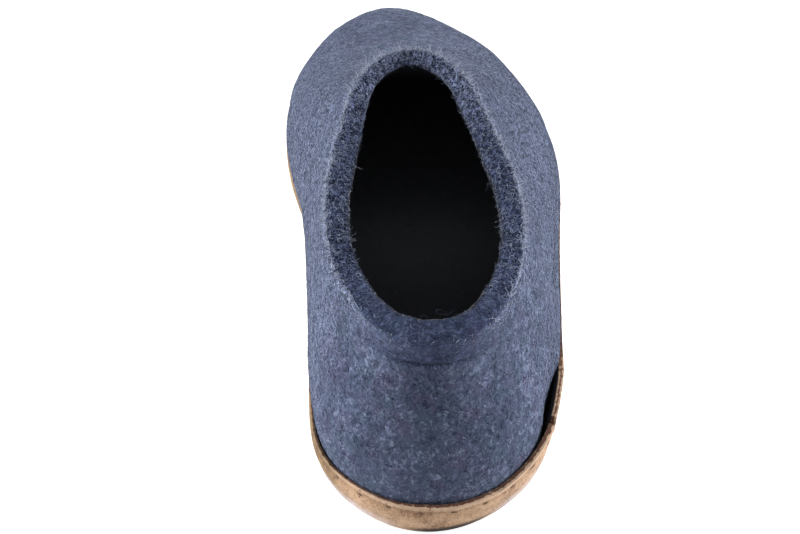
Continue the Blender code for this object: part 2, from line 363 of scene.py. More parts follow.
class Sheet:
    """Shorthand for wiring the nodes of one tree."""

    def __init__(self, tree: bpy.types.NodeTree) -> None:
        """Keeps the tree that the nodes go into."""
        self.tree = tree

    def add(self, kind: str, **settings: object) -> bpy.types.Node:
        """Adds a node.

        Args:
            kind: Its type, without the ShaderNode at the front.
            settings: Its properties by name.

        Returns:
            The node.
        """
        node = self.tree.nodes.new("ShaderNode" + kind)
        for name, value in settings.items():
            setattr(node, name, value)
        return node

    def feed(self, socket: bpy.types.NodeSocket, value: object) -> None:
        """Sets an input to a plain value or links it to an output."""
        if isinstance(value, bpy.types.NodeSocket):
            self.tree.links.new(value, socket)
        elif isinstance(value, tuple) and len(value) == 3 and socket.type == "RGBA":
            socket.default_value = (*value, 1)
        else:
            socket.default_value = value

    def math(self, operation: str, first: object, second: object = 0.0) -> Output:
        """A Math node's result."""
        node = self.add("Math", operation=operation)
        self.feed(node.inputs[0], first)
        self.feed(node.inputs[1], second)
        return node.outputs[0]

    def plus(self, first: object, second: object) -> Output:
        """Two values added."""
        return self.math("ADD", first, second)

    def less(self, first: object, second: object) -> Output:
        """The second value taken from the first."""
        return self.math("SUBTRACT", first, second)

    def times(self, first: object, second: object) -> Output:
        """Two values multiplied."""
        return self.math("MULTIPLY", first, second)

    def band(self, value: object, low: float, high: float) -> Output:
        """How near a value is to 0: 1 within high of it, 0 from low on."""
        return self.span(self.math("ABSOLUTE", value), low, high)

    def blend(self, share: object, first: object, second: object, how: str = "MIX") -> Output:
        """Two colours mixed.

        Args:
            share: How much of the second is taken.
            first: The colour at 0.
            second: The colour at 1.
            how: The blend type.

        Returns:
            The mixed colour.
        """
        node = self.add("Mix", data_type="RGBA", blend_type=how)
        self.feed(node.inputs["Factor"], share)
        self.feed(node.inputs[6], first)
        self.feed(node.inputs[7], second)
        return node.outputs[2]

    def speckle(
        self, where: object, scale: object, detail: float, rough: float, twist: float = 0.0
    ) -> Output:
        """A noise texture's value.

        Args:
            where: Coordinates.
            scale: How many lumps to the metre.
            detail: How many finer layers are added.
            rough: How strong those are.
            twist: How much the noise is distorted.

        Returns:
            A value about 0.5.
        """
        node = self.add("TexNoise")
        labels = ("Vector", "Scale", "Detail", "Roughness", "Distortion")
        for label, entry in zip(labels, (where, scale, detail, rough, twist)):
            self.feed(node.inputs[label], entry)
        return node.outputs["Fac"]

    def span(
        self, value: object, low: float, high: float, to_low: float = 0.0, to_high: float = 1.0
    ) -> Output:
        """A value spread from one range to another and held inside it."""
        node = self.add("MapRange", clamp=True)
        for socket, entry in zip(node.inputs, (value, low, high, to_low, to_high)):
            self.feed(socket, entry)
        return node.outputs[0]

    def stretch(self, where: object, scale: Triple, turn: Triple) -> Output:
        """Coordinates turned and scaled."""
        node = self.add("Mapping")
        self.feed(node.inputs["Vector"], where)
        node.inputs["Scale"].default_value = scale
        node.inputs["Rotation"].default_value = turn
        return node.outputs["Vector"]

    def mark(self, name: str) -> Output:
        """A vertex attribute's value."""
        return self.add("Attribute", attribute_name=name).outputs["Fac"]

    def layer(self, place: Output, fleck: Output, layer: Layer) -> Output:
        """The value of one layer of noise.

        Args:
            place: Coordinates.
            fleck: How many flecks go to the metre.
            layer: The layer.

        Returns:
            A value about 0.5.
        """
        scale = self.times(fleck, layer.grain) if layer.by_fleck else layer.grain
        where = self.stretch(place, layer.drawn, layer.turn) if any(layer.turn) else place
        return self.speckle(where, scale, layer.detail, layer.rough, layer.twist)

    def weigh(self, *parts: tuple[Output, float]) -> Output:
        """The sum of some values, each by its share."""
        shares = [self.times(value, share) for value, share in parts]
        total = shares[0]
        for share in shares[1:]:
            total = self.plus(total, share)
        return total

    def coats(self, color: Output, *coats: tuple) -> Output:
        """Colours laid over one another.

        Args:
            color: The ground.
            coats: For each, its share, its colour and, where it isn't MIX, its blend type.

        Returns:
            The colour on top.
        """
        for share, over, *how in coats:
            color = self.blend(share, color, over, *how)
        return color

    def group(self, name: str, inputs: dict[str, object]) -> bpy.types.bpy_prop_collection:
        """Places a node group and feeds it.

        Args:
            name: Name of the group.
            inputs: Values or outputs by the names of its inputs.

        Returns:
            Its outputs.
        """
        node = self.add("Group", node_tree=bpy.data.node_groups[name])
        for label, entry in inputs.items():
            self.feed(node.inputs[label], entry)
        return node.outputs

    def place(self) -> Output:
        """Object coordinates."""
        return self.add("TexCoord").outputs["Object"]

    def relief(self, shader: bpy.types.Node, height: object, strength: float, depth: float) -> None:
        """Wires a height through a Bump node to a shader.

        Args:
            shader: The shader whose normal it turns.
            height: The height.
            strength: How much of it is used.
            depth: Distance between its lowest and highest places.
        """
        bump = self.add("Bump")
        self.feed(bump.inputs["Strength"], strength)
        self.feed(bump.inputs["Distance"], depth)
        self.feed(bump.inputs["Height"], height)
        self.feed(shader.inputs["Normal"], bump.outputs["Normal"])


def new_group(
    name: str, inputs: dict[str, tuple[str, object]], outputs: dict[str, str]
) -> tuple[Sheet, bpy.types.Node, bpy.types.Node]:
    """An empty shader node group with named sockets.

    Args:
        name: Name of the group.
        inputs: For each input, its short type and its value.
        outputs: For each output, its short type.

    Returns:
        The group's sheet and its input and output nodes.
    """
    tree = bpy.data.node_groups.new(name, "ShaderNodeTree")
    for label, (kind, value) in inputs.items():
        socket = tree.interface.new_socket(name=label, in_out="INPUT", socket_type="NodeSocket" + kind)
        socket.default_value = (*value, 1) if kind == "Color" else value
    for label, kind in outputs.items():
        tree.interface.new_socket(name=label, in_out="OUTPUT", socket_type="NodeSocket" + kind)
    return Sheet(tree), tree.nodes.new("NodeGroupInput"), tree.nodes.new("NodeGroupOutput")


@dataclass(frozen=True)
class WoolMelange:
    """Dyed wool carded together: flecks of dark and light fibre over a patchy ground."""

    fine: Layer = Layer(1.5, rough=0.65, twist=0.5)
    strands: Layer = Layer(1.0, twist=1.2, drawn=(1.0, 1.0, 0.28), turn=(0.5, 0.2, 0.0))
    cross: Layer = Layer(1.0, twist=1.2, drawn=(0.28, 1.0, 1.0), turn=(0.0, 0.6, 0.4))
    coarse: Layer = Layer(0.42, detail=3.0, twist=0.8)
    blot: Layer = Layer(230.0, twist=0.8, drawn=(1.0, 1.0, 0.6), turn=(0.3, 0.2, 0.9), by_fleck=False)
    patch: Layer = Layer(55.0, rough=0.5, by_fleck=False)
    drift: Layer = Layer(140.0, turn=(1.0, 0.4, 2.0), by_fleck=False)
    hue: Layer = Layer(0.7, detail=1.0, rough=0.5, turn=(2.0, 1.0, 0.5))
    dark_line: Layer = Layer(0.60, twist=1.6, drawn=(1.2, 0.5, 0.6), turn=(0.2, 0.1, 0.1))
    pale_line: Layer = Layer(0.48, twist=1.6, drawn=(0.9, 1.0, 0.7), turn=(0.2, 0.1, 0.1))
    fine_share: float = 0.55
    coarse_share: float = 0.80
    blot_share: float = 0.32
    patch_share: float = 0.22
    coarse_relief: float = 0.25
    cool_patches: Span = (0.50, 0.62)
    warm_patches: Span = (0.48, 0.36)
    cream_flecks: Span = (0.50, 0.66)
    dark_flecks: Span = (-0.02, -0.22)
    pale_flecks: Span = (0.03, 0.24)
    line_width: Span = (0.050, 0.012)
    line_contrast: Span = (0.4, 4.5)
    line_strength: Span = (0.15, 0.90)
    line_relief: float = 0.10

    def make(self) -> None:
        """Builds the group wool_melange, which puts out Color and Height."""
        sheet, given, result = new_group(
            "wool_melange",
            {
                "Vector": ("Vector", (0.0, 0.0, 0.0)),
                "Fleck": ("Float", 900.0),
                "Contrast": ("Float", 1.0),
                "Dark": ("Color", (0.03, 0.04, 0.07)),
                "Ground": ("Color", (0.10, 0.12, 0.19)),
                "Light": ("Color", (0.25, 0.28, 0.38)),
                "Cream": ("Color", (0.34, 0.36, 0.37)),
                "Cool": ("Color", (0.07, 0.10, 0.14)),
                "Warm": ("Color", (0.09, 0.08, 0.15)),
            },
            {"Color": "Color", "Height": "Float"},
        )
        tint = given.outputs
        place, fleck, contrast = tint["Vector"], tint["Fleck"], tint["Contrast"]
        fine, strands, cross, coarse, blot, patch, drift, hue = (
            sheet.layer(place, fleck, layer)
            for layer in (
                self.fine, self.strands, self.cross, self.coarse,
                self.blot, self.patch, self.drift, self.hue,
            )
        )
        pair = sheet.weigh((strands, 0.5), (cross, 0.5))
        mixed = sheet.weigh((fine, self.fine_share), (pair, 1 - self.fine_share))
        lit = sheet.times(sheet.less(mixed, 0.5), contrast)
        shares = ((coarse, self.coarse_share), (blot, self.blot_share), (patch, self.patch_share))
        for layer, share in shares:
            lit = sheet.plus(lit, sheet.times(sheet.less(layer, 0.5), share))
        height = sheet.weigh((mixed, 1 - self.coarse_relief), (coarse, self.coarse_relief))
        pale = sheet.blend(sheet.span(hue, *self.cream_flecks), tint["Light"], tint["Cream"])
        color = sheet.coats(
            tint["Ground"],
            (sheet.span(drift, *self.cool_patches), tint["Cool"]),
            (sheet.span(drift, *self.warm_patches), tint["Warm"]),
            (sheet.span(lit, *self.dark_flecks), tint["Dark"]),
            (sheet.span(lit, *self.pale_flecks), pale),
        )
        strength = sheet.span(contrast, *self.line_contrast, *self.line_strength)
        lines = (
            (self.dark_line, "Dark", -self.line_relief),
            (self.pale_line, "Light", self.line_relief),
        )
        for layer, shade, raised in lines:
            wander = sheet.layer(place, fleck, layer)
            line = sheet.band(sheet.less(wander, 0.5), *self.line_width)
            color = sheet.blend(sheet.times(line, strength), color, tint[shade])
            height = sheet.plus(height, sheet.times(line, raised))
        sheet.feed(result.inputs["Color"], color)
        sheet.feed(result.inputs["Height"], height)


@dataclass(frozen=True)
class SuedeGrain:
    """Suede side of thick leather: short nap, blotches and rubbed patches."""

    cloud_grain: float = 210.0
    blotch_grain: float = 45.0
    shares: Triple = (0.5, 0.3, 0.2)
    pale_places: Span = (0.44, 0.56)
    deep_places: Span = (0.49, 0.39)
    cloud_relief: float = 0.5
    rough_places: Span = (0.35, 0.65)
    roughness: Span = (0.92, 0.72)

    def make(self) -> None:
        """Builds the group suede_grain, which puts out Color, Height and Roughness."""
        sheet, given, result = new_group(
            "suede_grain",
            {
                "Vector": ("Vector", (0.0, 0.0, 0.0)),
                "Pale": ("Color", (0.58, 0.41, 0.28)),
                "Mid": ("Color", (0.42, 0.28, 0.18)),
                "Deep": ("Color", (0.26, 0.16, 0.09)),
                "Grain": ("Float", 1400.0),
            },
            {"Color": "Color", "Height": "Float", "Roughness": "Float"},
        )
        tint = given.outputs
        nap = sheet.speckle(tint["Vector"], tint["Grain"], 4.0, 0.75, 0.3)
        cloud = sheet.speckle(tint["Vector"], self.cloud_grain, 3.0, 0.6)
        blotch = sheet.speckle(tint["Vector"], self.blotch_grain, 2.0, 0.5)
        tone = sheet.weigh(*zip((nap, cloud, blotch), self.shares))
        color = sheet.coats(
            tint["Mid"],
            (sheet.span(tone, *self.pale_places), tint["Pale"]),
            (sheet.span(tone, *self.deep_places), tint["Deep"]),
        )
        raised = sheet.plus(nap, sheet.times(cloud, self.cloud_relief))
        rough = sheet.span(tone, *self.rough_places, *self.roughness)
        for label, value in (("Color", color), ("Height", raised), ("Roughness", rough)):
            sheet.feed(result.inputs[label], value)


@dataclass(frozen=True)
class Finish:
    """What all finishes share: one Principled shader, and the values that are even all over it."""

    name: str
    roughness: float = 0.9
    specular: float = 0.15
    sheen: float = 0.0
    sheen_roughness: float = 0.5
    sheen_tint: Color = (1.0, 1.0, 1.0)
    bump: Span = (0.5, 0.0006)

    def start(self) -> tuple[bpy.types.Material, Sheet, bpy.types.Node]:
        """A new material with its even values set, its sheet and its shader."""
        made = bpy.data.materials.new(self.name)
        made.use_nodes = True
        shader = made.node_tree.nodes["Principled BSDF"]
        shader.inputs["Roughness"].default_value = self.roughness
        shader.inputs["Specular IOR Level"].default_value = self.specular
        shader.inputs["Sheen Weight"].default_value = self.sheen
        shader.inputs["Sheen Roughness"].default_value = self.sheen_roughness
        shader.inputs["Sheen Tint"].default_value = (*self.sheen_tint, 1)
        return made, Sheet(made.node_tree), shader


@dataclass(frozen=True)
class FeltFinish(Finish):
    """Felted wool with a darker cut edge; painted shade and highlight on its relief, a pale fuzzy
    corner that is partly a painted highlight, and painted shade in the mouth, in the crease, under the
    collar at the back and in front of the collar.
    """

    roughness: float = 0.95
    sheen: float = 0.30
    sheen_roughness: float = 0.25
    sheen_tint: Color = (0.70, 0.78, 1.0)
    bump: Span = (0.65, 0.0008)
    dark: Color = (0.015, 0.020, 0.047)
    ground: Color = (0.074, 0.090, 0.155)
    light: Color = (0.250, 0.305, 0.470)
    cream: Color = (0.300, 0.335, 0.425)
    cool: Color = (0.064, 0.088, 0.142)
    warm: Color = (0.082, 0.082, 0.150)
    cut_shade: Color = (0.50, 0.53, 0.63)
    front_shade: Color = (1.12, 1.10, 1.16)
    # Pale fuzz along the rim's outer corner, partly a painted highlight where the corner catches the
    # light.
    fuzz_and_edge_highlight: Color = (0.44, 0.50, 0.68)
    # Near-black painted over the felt past the mouth: painted shade of the unlit opening.
    inside: Color = (0.018, 0.019, 0.022)
    # Darkens the band under the collar's rim at the back: painted shade.
    flare_painted_shade: Color = (0.47, 0.51, 0.63)
    shadow_shade: Color = (0.62, 0.64, 0.72)
    fleck: Span = (1350.0, 1000.0)
    contrast: Span = (0.4, 6.0)
    relief_heights: Span = (0.40, 0.60)
    # Colour is multiplied from darker in the felt's low places to lighter on its raised ones: painted
    # shade and highlight of its relief.
    relief: Span = (0.62, 1.26)
    stray: float = 0.008
    fuzz_grain: float = 1100.0
    fuzz_breaks: Span = (0.46, 0.56)

    def make(self) -> bpy.types.Material:
        """Builds the material."""
        made, sheet, shader = self.start()
        at = {
            name: sheet.mark(name)
            for name in (
                "past_rim", "past_mouth", "past_crease", "crease",
                "crisp", "front", "corner", "flare", "shadow",
            )
        }
        dyes = ("Dark", "Ground", "Light", "Cream", "Cool", "Warm")
        wool = sheet.group(
            "wool_melange",
            {
                "Vector": sheet.place(),
                "Fleck": sheet.span(at["past_rim"], -0.0001, 0.0001, *self.fleck),
                "Contrast": sheet.span(at["crisp"], 0.0, 1.0, *self.contrast),
            }
            | {label: getattr(self, label.lower()) for label in dyes},
        )
        stray = sheet.times(sheet.less(wool["Height"], 0.5), self.stray)
        rim, mouth, crease = (
            sheet.plus(at[name], stray) for name in ("past_rim", "past_mouth", "past_crease")
        )
        # Painted shade and highlight of the relief: darker where the felt is low, lighter where it is
        # raised.
        raised = sheet.span(wool["Height"], *self.relief_heights, *self.relief)
        shade = sheet.blend(at["front"], self.cut_shade, self.front_shade)
        # The rim's outer corner is painted pale: partly fuzz, partly a painted highlight.
        ridge = sheet.times(sheet.span(rim, -0.0020, -0.0005), sheet.span(rim, 0.0004, 0.0))
        specks = sheet.speckle(sheet.place(), self.fuzz_grain, 2.0, 0.7)
        fuzz = sheet.times(sheet.times(ridge, sheet.span(specks, *self.fuzz_breaks)), at["corner"])
        flare = sheet.times(at["flare"], sheet.span(rim, 0.0002, -0.0002))
        color = sheet.coats(
            wool["Color"],
            (at["crisp"], raised, "MULTIPLY"),
            (sheet.span(rim, -0.0002, 0.0003), shade, "MULTIPLY"),
            (fuzz, self.fuzz_and_edge_highlight),
            # painted shade past the mouth
            (sheet.span(mouth, -0.0006, 0.0001), self.inside),
            # dark line along the heel's crease: painted shade
            (sheet.times(sheet.band(crease, 0.0010, 0.0003), at["crease"]), self.dark),
            # painted shade under the collar at the back
            (flare, self.flare_painted_shade, "MULTIPLY"),
            (at["shadow"], self.shadow_shade, "MULTIPLY"),
        )
        sheet.feed(shader.inputs["Base Color"], color)
        sheet.relief(shader, wool["Height"], *self.bump)
        return made


@dataclass(frozen=True)
class InnerFeltFinish(Finish):
    """Dark felt without a sheen, with painted shade towards the insole's back. Its own colours paint
    the upper's deep inner faces dark, as shade; the insole brings its own charcoal.
    """

    roughness: float = 1.0
    specular: float = 0.05
    # These near-black colours paint the upper's deep inner faces as shade; the insole brings its own
    # colours.
    color: Color = (0.075, 0.079, 0.090)
    fleck_color: Color = (0.115, 0.120, 0.136)
    # Darkens the insole towards its back, where more light reaches in: painted shade that keeps the
    # opening evenly dark.
    hole_shade_tint: Color = (0.32, 0.32, 0.335)
    nap_grain: float = 1200.0
    flecks: Span = (0.50, 0.70)

    def make(self) -> bpy.types.Material:
        """Builds the material."""
        made, sheet, shader = self.start()
        nap = sheet.speckle(sheet.place(), self.nap_grain, 3.0, 0.6, 0.4)
        color = sheet.blend(sheet.span(nap, *self.flecks), self.color, self.fleck_color)
        # painted shade towards the insole's back
        color = sheet.blend(sheet.mark("hole_shade"), color, self.hole_shade_tint, "MULTIPLY")
        sheet.feed(shader.inputs["Base Color"], color)
        sheet.relief(shader, nap, *self.bump)
        return made


@dataclass(frozen=True)
class FibreFinish(Finish):
    """Loose wool fibres, each with its own tone from dark to pale."""

    dark: Color = (0.022, 0.026, 0.050)
    middle: Color = (0.085, 0.100, 0.165)
    pale: Color = (0.42, 0.48, 0.62)

    def make(self) -> bpy.types.Material:
        """Builds the material."""
        made, sheet, shader = self.start()
        tone = sheet.mark("tone")
        color = sheet.blend(sheet.span(tone, 0.0, 0.5), self.dark, self.middle)
        color = sheet.blend(sheet.span(tone, 0.5, 1.0), color, self.pale)
        sheet.feed(shader.inputs["Base Color"], color)
        return made


@dataclass(frozen=True)
class LeatherFinish(Finish):
    """Tan suede-out leather with a brown cut edge; painted shade at its ground edge, over its inner
    face, under its lip and in the gap under the felt, and a pale painted reflection of the floor low on
    its sides.
    """

    roughness: float = 0.5
    specular: float = 0.25
    sheen: float = 0.12
    bump: Span = (0.5, 0.0004)
    pale: Color = (0.620, 0.405, 0.255)
    mid: Color = (0.430, 0.262, 0.155)
    deep: Color = (0.230, 0.125, 0.065)
    # Reddish brown of the cut leather's middle layer; where felt meets leather it is laid wider and
    # darker: partly the leather's own colour, partly painted shade of the gap.
    core_and_gap_shade: Color = (0.140, 0.060, 0.036)
    rim: Color = (0.68, 0.49, 0.35)
    # Near-black for the cup's bottom edge: painted contact shadow.
    ground: Color = (0.020, 0.013, 0.010)
    # Pale lavender low on the heel's sides: a painted reflection of the white floor.
    floor_reflection: Color = (0.74, 0.69, 0.74)
    # Near-black over the cup's inner faces: painted shade.
    hollow_shade: Color = (0.012, 0.008, 0.007)
    thread_shade: Color = (0.110, 0.058, 0.032)
    # Browner and darker on the inner side and along the lip towards the front.
    deepened_tint: Color = (0.50, 0.49, 0.38)
    ragged_grain: float = 700.0
    ragged: float = 3.2
    core_from: Span = (0.35, 0.60)
    reflection_break_heights: Span = (0.55, 0.95)
    reflection_breaks: Span = (0.40, 0.95)

    def make(self) -> bpy.types.Material:
        """Builds the material."""
        made, sheet, shader = self.start()
        place = sheet.place()
        hides = {"Pale": self.pale, "Mid": self.mid, "Deep": self.deep}
        suede = sheet.group("suede_grain", {"Vector": place} | hides)
        specks = sheet.less(sheet.speckle(place, self.ragged_grain, 3.0, 0.7), 0.5)
        core_and_gap_shade = sheet.plus(sheet.mark("core_and_gap_shade"), sheet.times(specks, self.ragged))
        broken_reflection = sheet.span(suede["Height"], *self.reflection_break_heights, *self.reflection_breaks)
        color = sheet.coats(
            suede["Color"],
            # darker line under the lip's edge: painted shade of a groove
            (sheet.mark("groove_shade"), self.deep),
            (sheet.mark("rim"), self.rim),
            (sheet.span(core_and_gap_shade, *self.core_from), self.core_and_gap_shade),
            # darker on the inner side and along the lip towards the front
            (sheet.mark("deepened"), self.deepened_tint, "MULTIPLY"),
            (sheet.mark("dent"), self.thread_shade),
            # painted reflection of the floor, broken up by the nap
            (sheet.times(sheet.mark("floor_reflection"), broken_reflection), self.floor_reflection),
            # painted contact shadow at the bottom edge
            (sheet.mark("contact_shade"), self.ground),
            (sheet.mark("hollow_shade"), self.hollow_shade),
        )
        sheet.feed(shader.inputs["Base Color"], color)
        sheet.feed(shader.inputs["Roughness"], suede["Roughness"])
        sheet.relief(shader, suede["Height"], *self.bump)
        return made


@dataclass(frozen=True)
class ThreadFinish(Finish):
    """Waxed thread, twisted."""

    roughness: float = 0.6
    specular: float = 0.5
    color: Color = (0.130, 0.060, 0.030)
    ply_color: Color = (0.190, 0.105, 0.060)
    ply_grain: float = 2500.0
    ply: Span = (0.35, 0.65)

    def make(self) -> bpy.types.Material:
        """Builds the material."""
        made, sheet, shader = self.start()
        ply = sheet.span(sheet.speckle(sheet.place(), self.ply_grain, 2.0, 0.5), *self.ply)
        sheet.feed(shader.inputs["Base Color"], sheet.blend(ply, self.color, self.ply_color))
        return made


def finish_piece(
    piece: bpy.types.Object,
    materials: list[bpy.types.Material],
    nodes: tuple[str, ...] = (),
) -> None:
    """Gives a piece its materials and its place in the frame.

    Args:
        piece: The finished piece.
        materials: What its faces' material numbers point to.
        nodes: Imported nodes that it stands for.
    """
    chosen = np.zeros(len(piece.data.polygons), np.int32)
    piece.data.polygons.foreach_get("material_index", chosen)
    piece.data.materials.clear()
    for material in materials:
        piece.data.materials.append(material)
    piece.data.polygons.foreach_set("material_index", chosen)
    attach(piece, BODY)
    if nodes:
        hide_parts(*nodes)
    mesh = piece.data
    log.info("%s: %d vertices, %d faces", piece.name, len(mesh.vertices), len(mesh.polygons))


def mesh_piece(name: str, places: np.ndarray, faces: np.ndarray, tones: np.ndarray) -> bpy.types.Object:
    """A piece from arrays, for things too many to place one by one.

    Args:
        name: Name of the piece.
        places: Vertex places.
        faces: Triangles.
        tones: The attribute tone for each vertex.

    Returns:
        The piece.
    """
    mesh = bpy.data.meshes.new(name)
    mesh.vertices.add(len(places))
    mesh.vertices.foreach_set("co", places.astype(np.float32).ravel())
    mesh.loops.add(faces.size)
    mesh.loops.foreach_set("vertex_index", faces.astype(np.int32).ravel())
    mesh.polygons.add(len(faces))
    mesh.polygons.foreach_set("loop_start", np.arange(0, faces.size, 3, dtype=np.int32))
    mesh.update(calc_edges=True)
    mesh.validate()
    piece = bpy.data.objects.new(name, mesh)
    bpy.context.scene.collection.objects.link(piece)
    paint(piece, {"tone": tones})
    return piece


@dataclass
class FeltUpper:
    """The felted upper, with its lumps, its crease below the collar and its cut edge."""

    voxel: float = 0.00098
    cut_above: float = 0.045
    sharpness: float = math.radians(32)
    outer_seed: Vector = field(default_factory=lambda: Vector((0.0, -0.140, 0.030)))
    inner_seed: Vector = field(default_factory=lambda: Vector((0.0, -0.100, 0.040)))
    big_lump: Span = (0.030, 0.0005)
    small_lump: Span = (0.008, 0.00022)
    pill: Span = (0.0028, 0.00013)
    calm_foot: Span = (0.012, 0.020)
    crease_below: float = 0.0115
    crease_wave: Span = (0.012, 0.0012)
    crease_width: float = 0.0013
    crease_depth: float = 0.0006
    crease_reach: float = 0.014
    crease_middle: float = 0.0015
    crease_behind: float = -0.08
    flare_reach: float = 0.021
    flare_fade: Span = (0.0015, -0.0010)
    rag: float = 0.00045
    rag_reach: float = 0.0012
    gap_press: float = 0.0013
    gap_middle: float = -0.093
    gap_length: float = 0.010
    gap_side: Span = (0.020, 0.030)
    gap_height: Span = (0.030, 0.012)
    bulge: Span = (0.0015, 0.0017)
    bulge_middle: float = 0.0115
    bulge_height: float = 0.0045
    bulge_foot: Span = (0.0070, 0.0090)
    bulge_side: float = 0.020
    bulge_inner_start: Span = (-0.108, -0.068)
    bulge_outer_start: Span = (-0.083, -0.070)
    bulge_end: Span = (0.110, 0.060)
    front: Span = (-0.035, -0.006)
    front_depth: float = 0.0016
    deep_from: float = 0.0004
    shadow_start: float = 0.0006
    shadow_reach: float = 0.009
    flank_middle: float = 0.002
    flank_side: Span = (0.008, 0.026)
    flank_start: Span = (-0.125, -0.100)
    corner_fuzz: Span = (0.15, 0.75)
    corner_reach: float = 0.007
    corner_crisp: float = 0.95
    wall_facing: Span = (0.10, 0.50)
    wall_ahead: Span = (-0.055, -0.010)
    rim_ahead: Span = (-0.050, -0.015)
    heel_blur: Span = (-0.120, -0.080)
    toe_blur: Span = (0.110, 0.050)
    piece: bpy.types.Object = field(init=False)
    zone: np.ndarray = field(init=False)
    crisp: np.ndarray = field(init=False)
    collar: Loop = field(init=False)
    mouth: Loop = field(init=False)

    def build(self, node: bpy.types.Object) -> None:
        """Makes the dense wall and shapes its surface.

        Args:
            node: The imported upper.
        """
        self.piece = copy_of_node(node, "upper_felt")
        skin = Skin(self.piece, self.sharpness, self.outer_seed, self.inner_seed, self.cut_above)
        self.collar = Loop(skin.border(Zone.OUTER, Zone.CUT))
        self.mouth = Loop(skin.border(Zone.INNER, Zone.CUT))
        apply_modifier(self.piece, "SUBSURF", levels=2, render_levels=2)
        apply_modifier(self.piece, "REMESH", mode="VOXEL", voxel_size=self.voxel)
        apply_modifier(self.piece, "SMOOTH", factor=0.5, iterations=3)
        self.zone = skin.zone_of(corners(self.piece))
        self.shape()

    def shape(self) -> None:
        """Moves the surface along its normals and marks its zones."""
        places, normals = corners(self.piece), directions(self.piece)
        x, y, z = places.T
        _, below = self.collar.nearest(places)
        _, in_mouth = self.mouth.nearest(places)
        outer, inner = self.zone == Zone.OUTER.value, self.zone == Zone.INNER.value
        back = (y < self.crease_behind) & outer
        wave_width, wave_size = self.crease_wave
        arc = below - self.crease_below - wave_size * lumps(places, wave_width, 5.0)
        reach = bell(x - self.crease_middle, self.crease_reach, 4)
        layers = enumerate((self.big_lump, self.small_lump, self.pill))
        out = sum(size * lumps(places, width, seed) for seed, (width, size) in layers)
        out = out - self.crease_depth * (bell(arc, self.crease_width) * reach * back)
        out *= np.where(self.zone == Zone.FOOT.value, 0.0, 1.0)
        out *= lifted(0.2, rise(z, *self.calm_foot))
        rag = self.rag * lumps(places, 0.0026, 8.0) + self.rag * lumps(places, 0.0013, 3.0)
        out += rag * bell(in_mouth, self.rag_reach)
        out += self.swell_over_lip(places) * outer
        along_gap = bell(y - self.gap_middle, self.gap_length)
        gap = rise(x, *self.gap_side) * along_gap * rise(z, *self.gap_height)
        out -= self.gap_press * gap * outer
        move_to(self.piece, places + normals * out[:, None])
        self.piece.data.shade_smooth()

        front = rise(y, *self.front)
        past_mouth = np.where(inner, in_mouth, -in_mouth) - self.front_depth * front
        sides = rise(np.abs(x - self.flank_middle), *self.flank_side)
        flank = sides * rise(y, *self.flank_start)
        ahead = np.clip(below - self.shadow_start, 0, 1)
        edge = rise(ahead, 0.0, self.shadow_start)
        near_corner = outer * flank * bell(below, self.corner_reach)
        crisp = self.crispness(places, normals)
        self.crisp = np.maximum(crisp, self.corner_crisp * near_corner)
        least_fuzz, more_fuzz = self.corner_fuzz
        flare_reach = bell(x - self.crease_middle, self.flare_reach, 4)
        marks = {
            "past_rim": np.where(outer, -below, below),
            "past_mouth": past_mouth,
            "past_crease": np.where(outer, arc, 1.0),
            "crease": reach * back,
            "flare": flare_reach * back * rise(arc, *self.flare_fade),
            "corner": (least_fuzz + more_fuzz * flank) * outer,
            "front": front,
            "shadow": outer * front * edge * bell(ahead, self.shadow_reach),
            "crisp": self.crisp,
        }
        paint(self.piece, marks)
        # Faces deep in the opening take the second, near-black felt: painted shade.
        deep = self.face_lowest(np.where(inner, past_mouth, -1.0)) > self.deep_from
        self.piece.data.polygons.foreach_set("material_index", deep.astype(np.int32))

    def face_lowest(self, values: np.ndarray) -> np.ndarray:
        """The lowest of the vertex values round each face."""
        ends = np.empty(len(self.piece.data.loops), np.int32)
        self.piece.data.loops.foreach_get("vertex_index", ends)
        starts = np.empty(len(self.piece.data.polygons), np.int32)
        self.piece.data.polygons.foreach_get("loop_start", starts)
        return np.minimum.reduceat(values[ends], starts)

    def swell_over_lip(self, places: np.ndarray) -> np.ndarray:
        """How far the felt puffs out over the leather lip along both sides."""
        x, y, z = places.T
        height = bell(z - self.bulge_middle, self.bulge_height) * rise(z, *self.bulge_foot)
        end = rise(y, *self.bulge_end)
        medial = rise(x, 0.0, -self.bulge_side) * rise(y, *self.bulge_inner_start) * end
        lateral = rise(x, 0.0, self.bulge_side) * rise(y, *self.bulge_outer_start) * end
        return height * (self.bulge[0] * medial + self.bulge[1] * lateral)

    def crispness(self, places: np.ndarray, normals: np.ndarray) -> np.ndarray:
        """How clear the flecks are: most on the sides and the rim, least on the heel and the toe."""
        x, y, _ = places.T
        walls = rise(np.abs(normals[:, 0]), *self.wall_facing)
        walls = walls * lifted(0.25, rise(y, *self.wall_ahead))
        walls *= 1 - 0.35 * rise(x, 0.0, self.bulge_side)
        rim = lifted(0.60, rise(y, *self.rim_ahead))
        sides = np.where(self.zone == Zone.CUT.value, rim, walls)
        middle = rise(y, *self.heel_blur) * rise(y, *self.toe_blur)
        return np.clip(sides * 0.90 + 0.10, 0, 1) * lifted(0.06, middle)

    def dress(self) -> None:
        """Gives the wall its felt."""
        # The second felt paints the deep inner faces dark: painted shade.
        felts = [FeltFinish("felt_blue").make(), InnerFeltFinish("felt_inside_shade").make()]
        finish_piece(self.piece, felts, ("upper",))


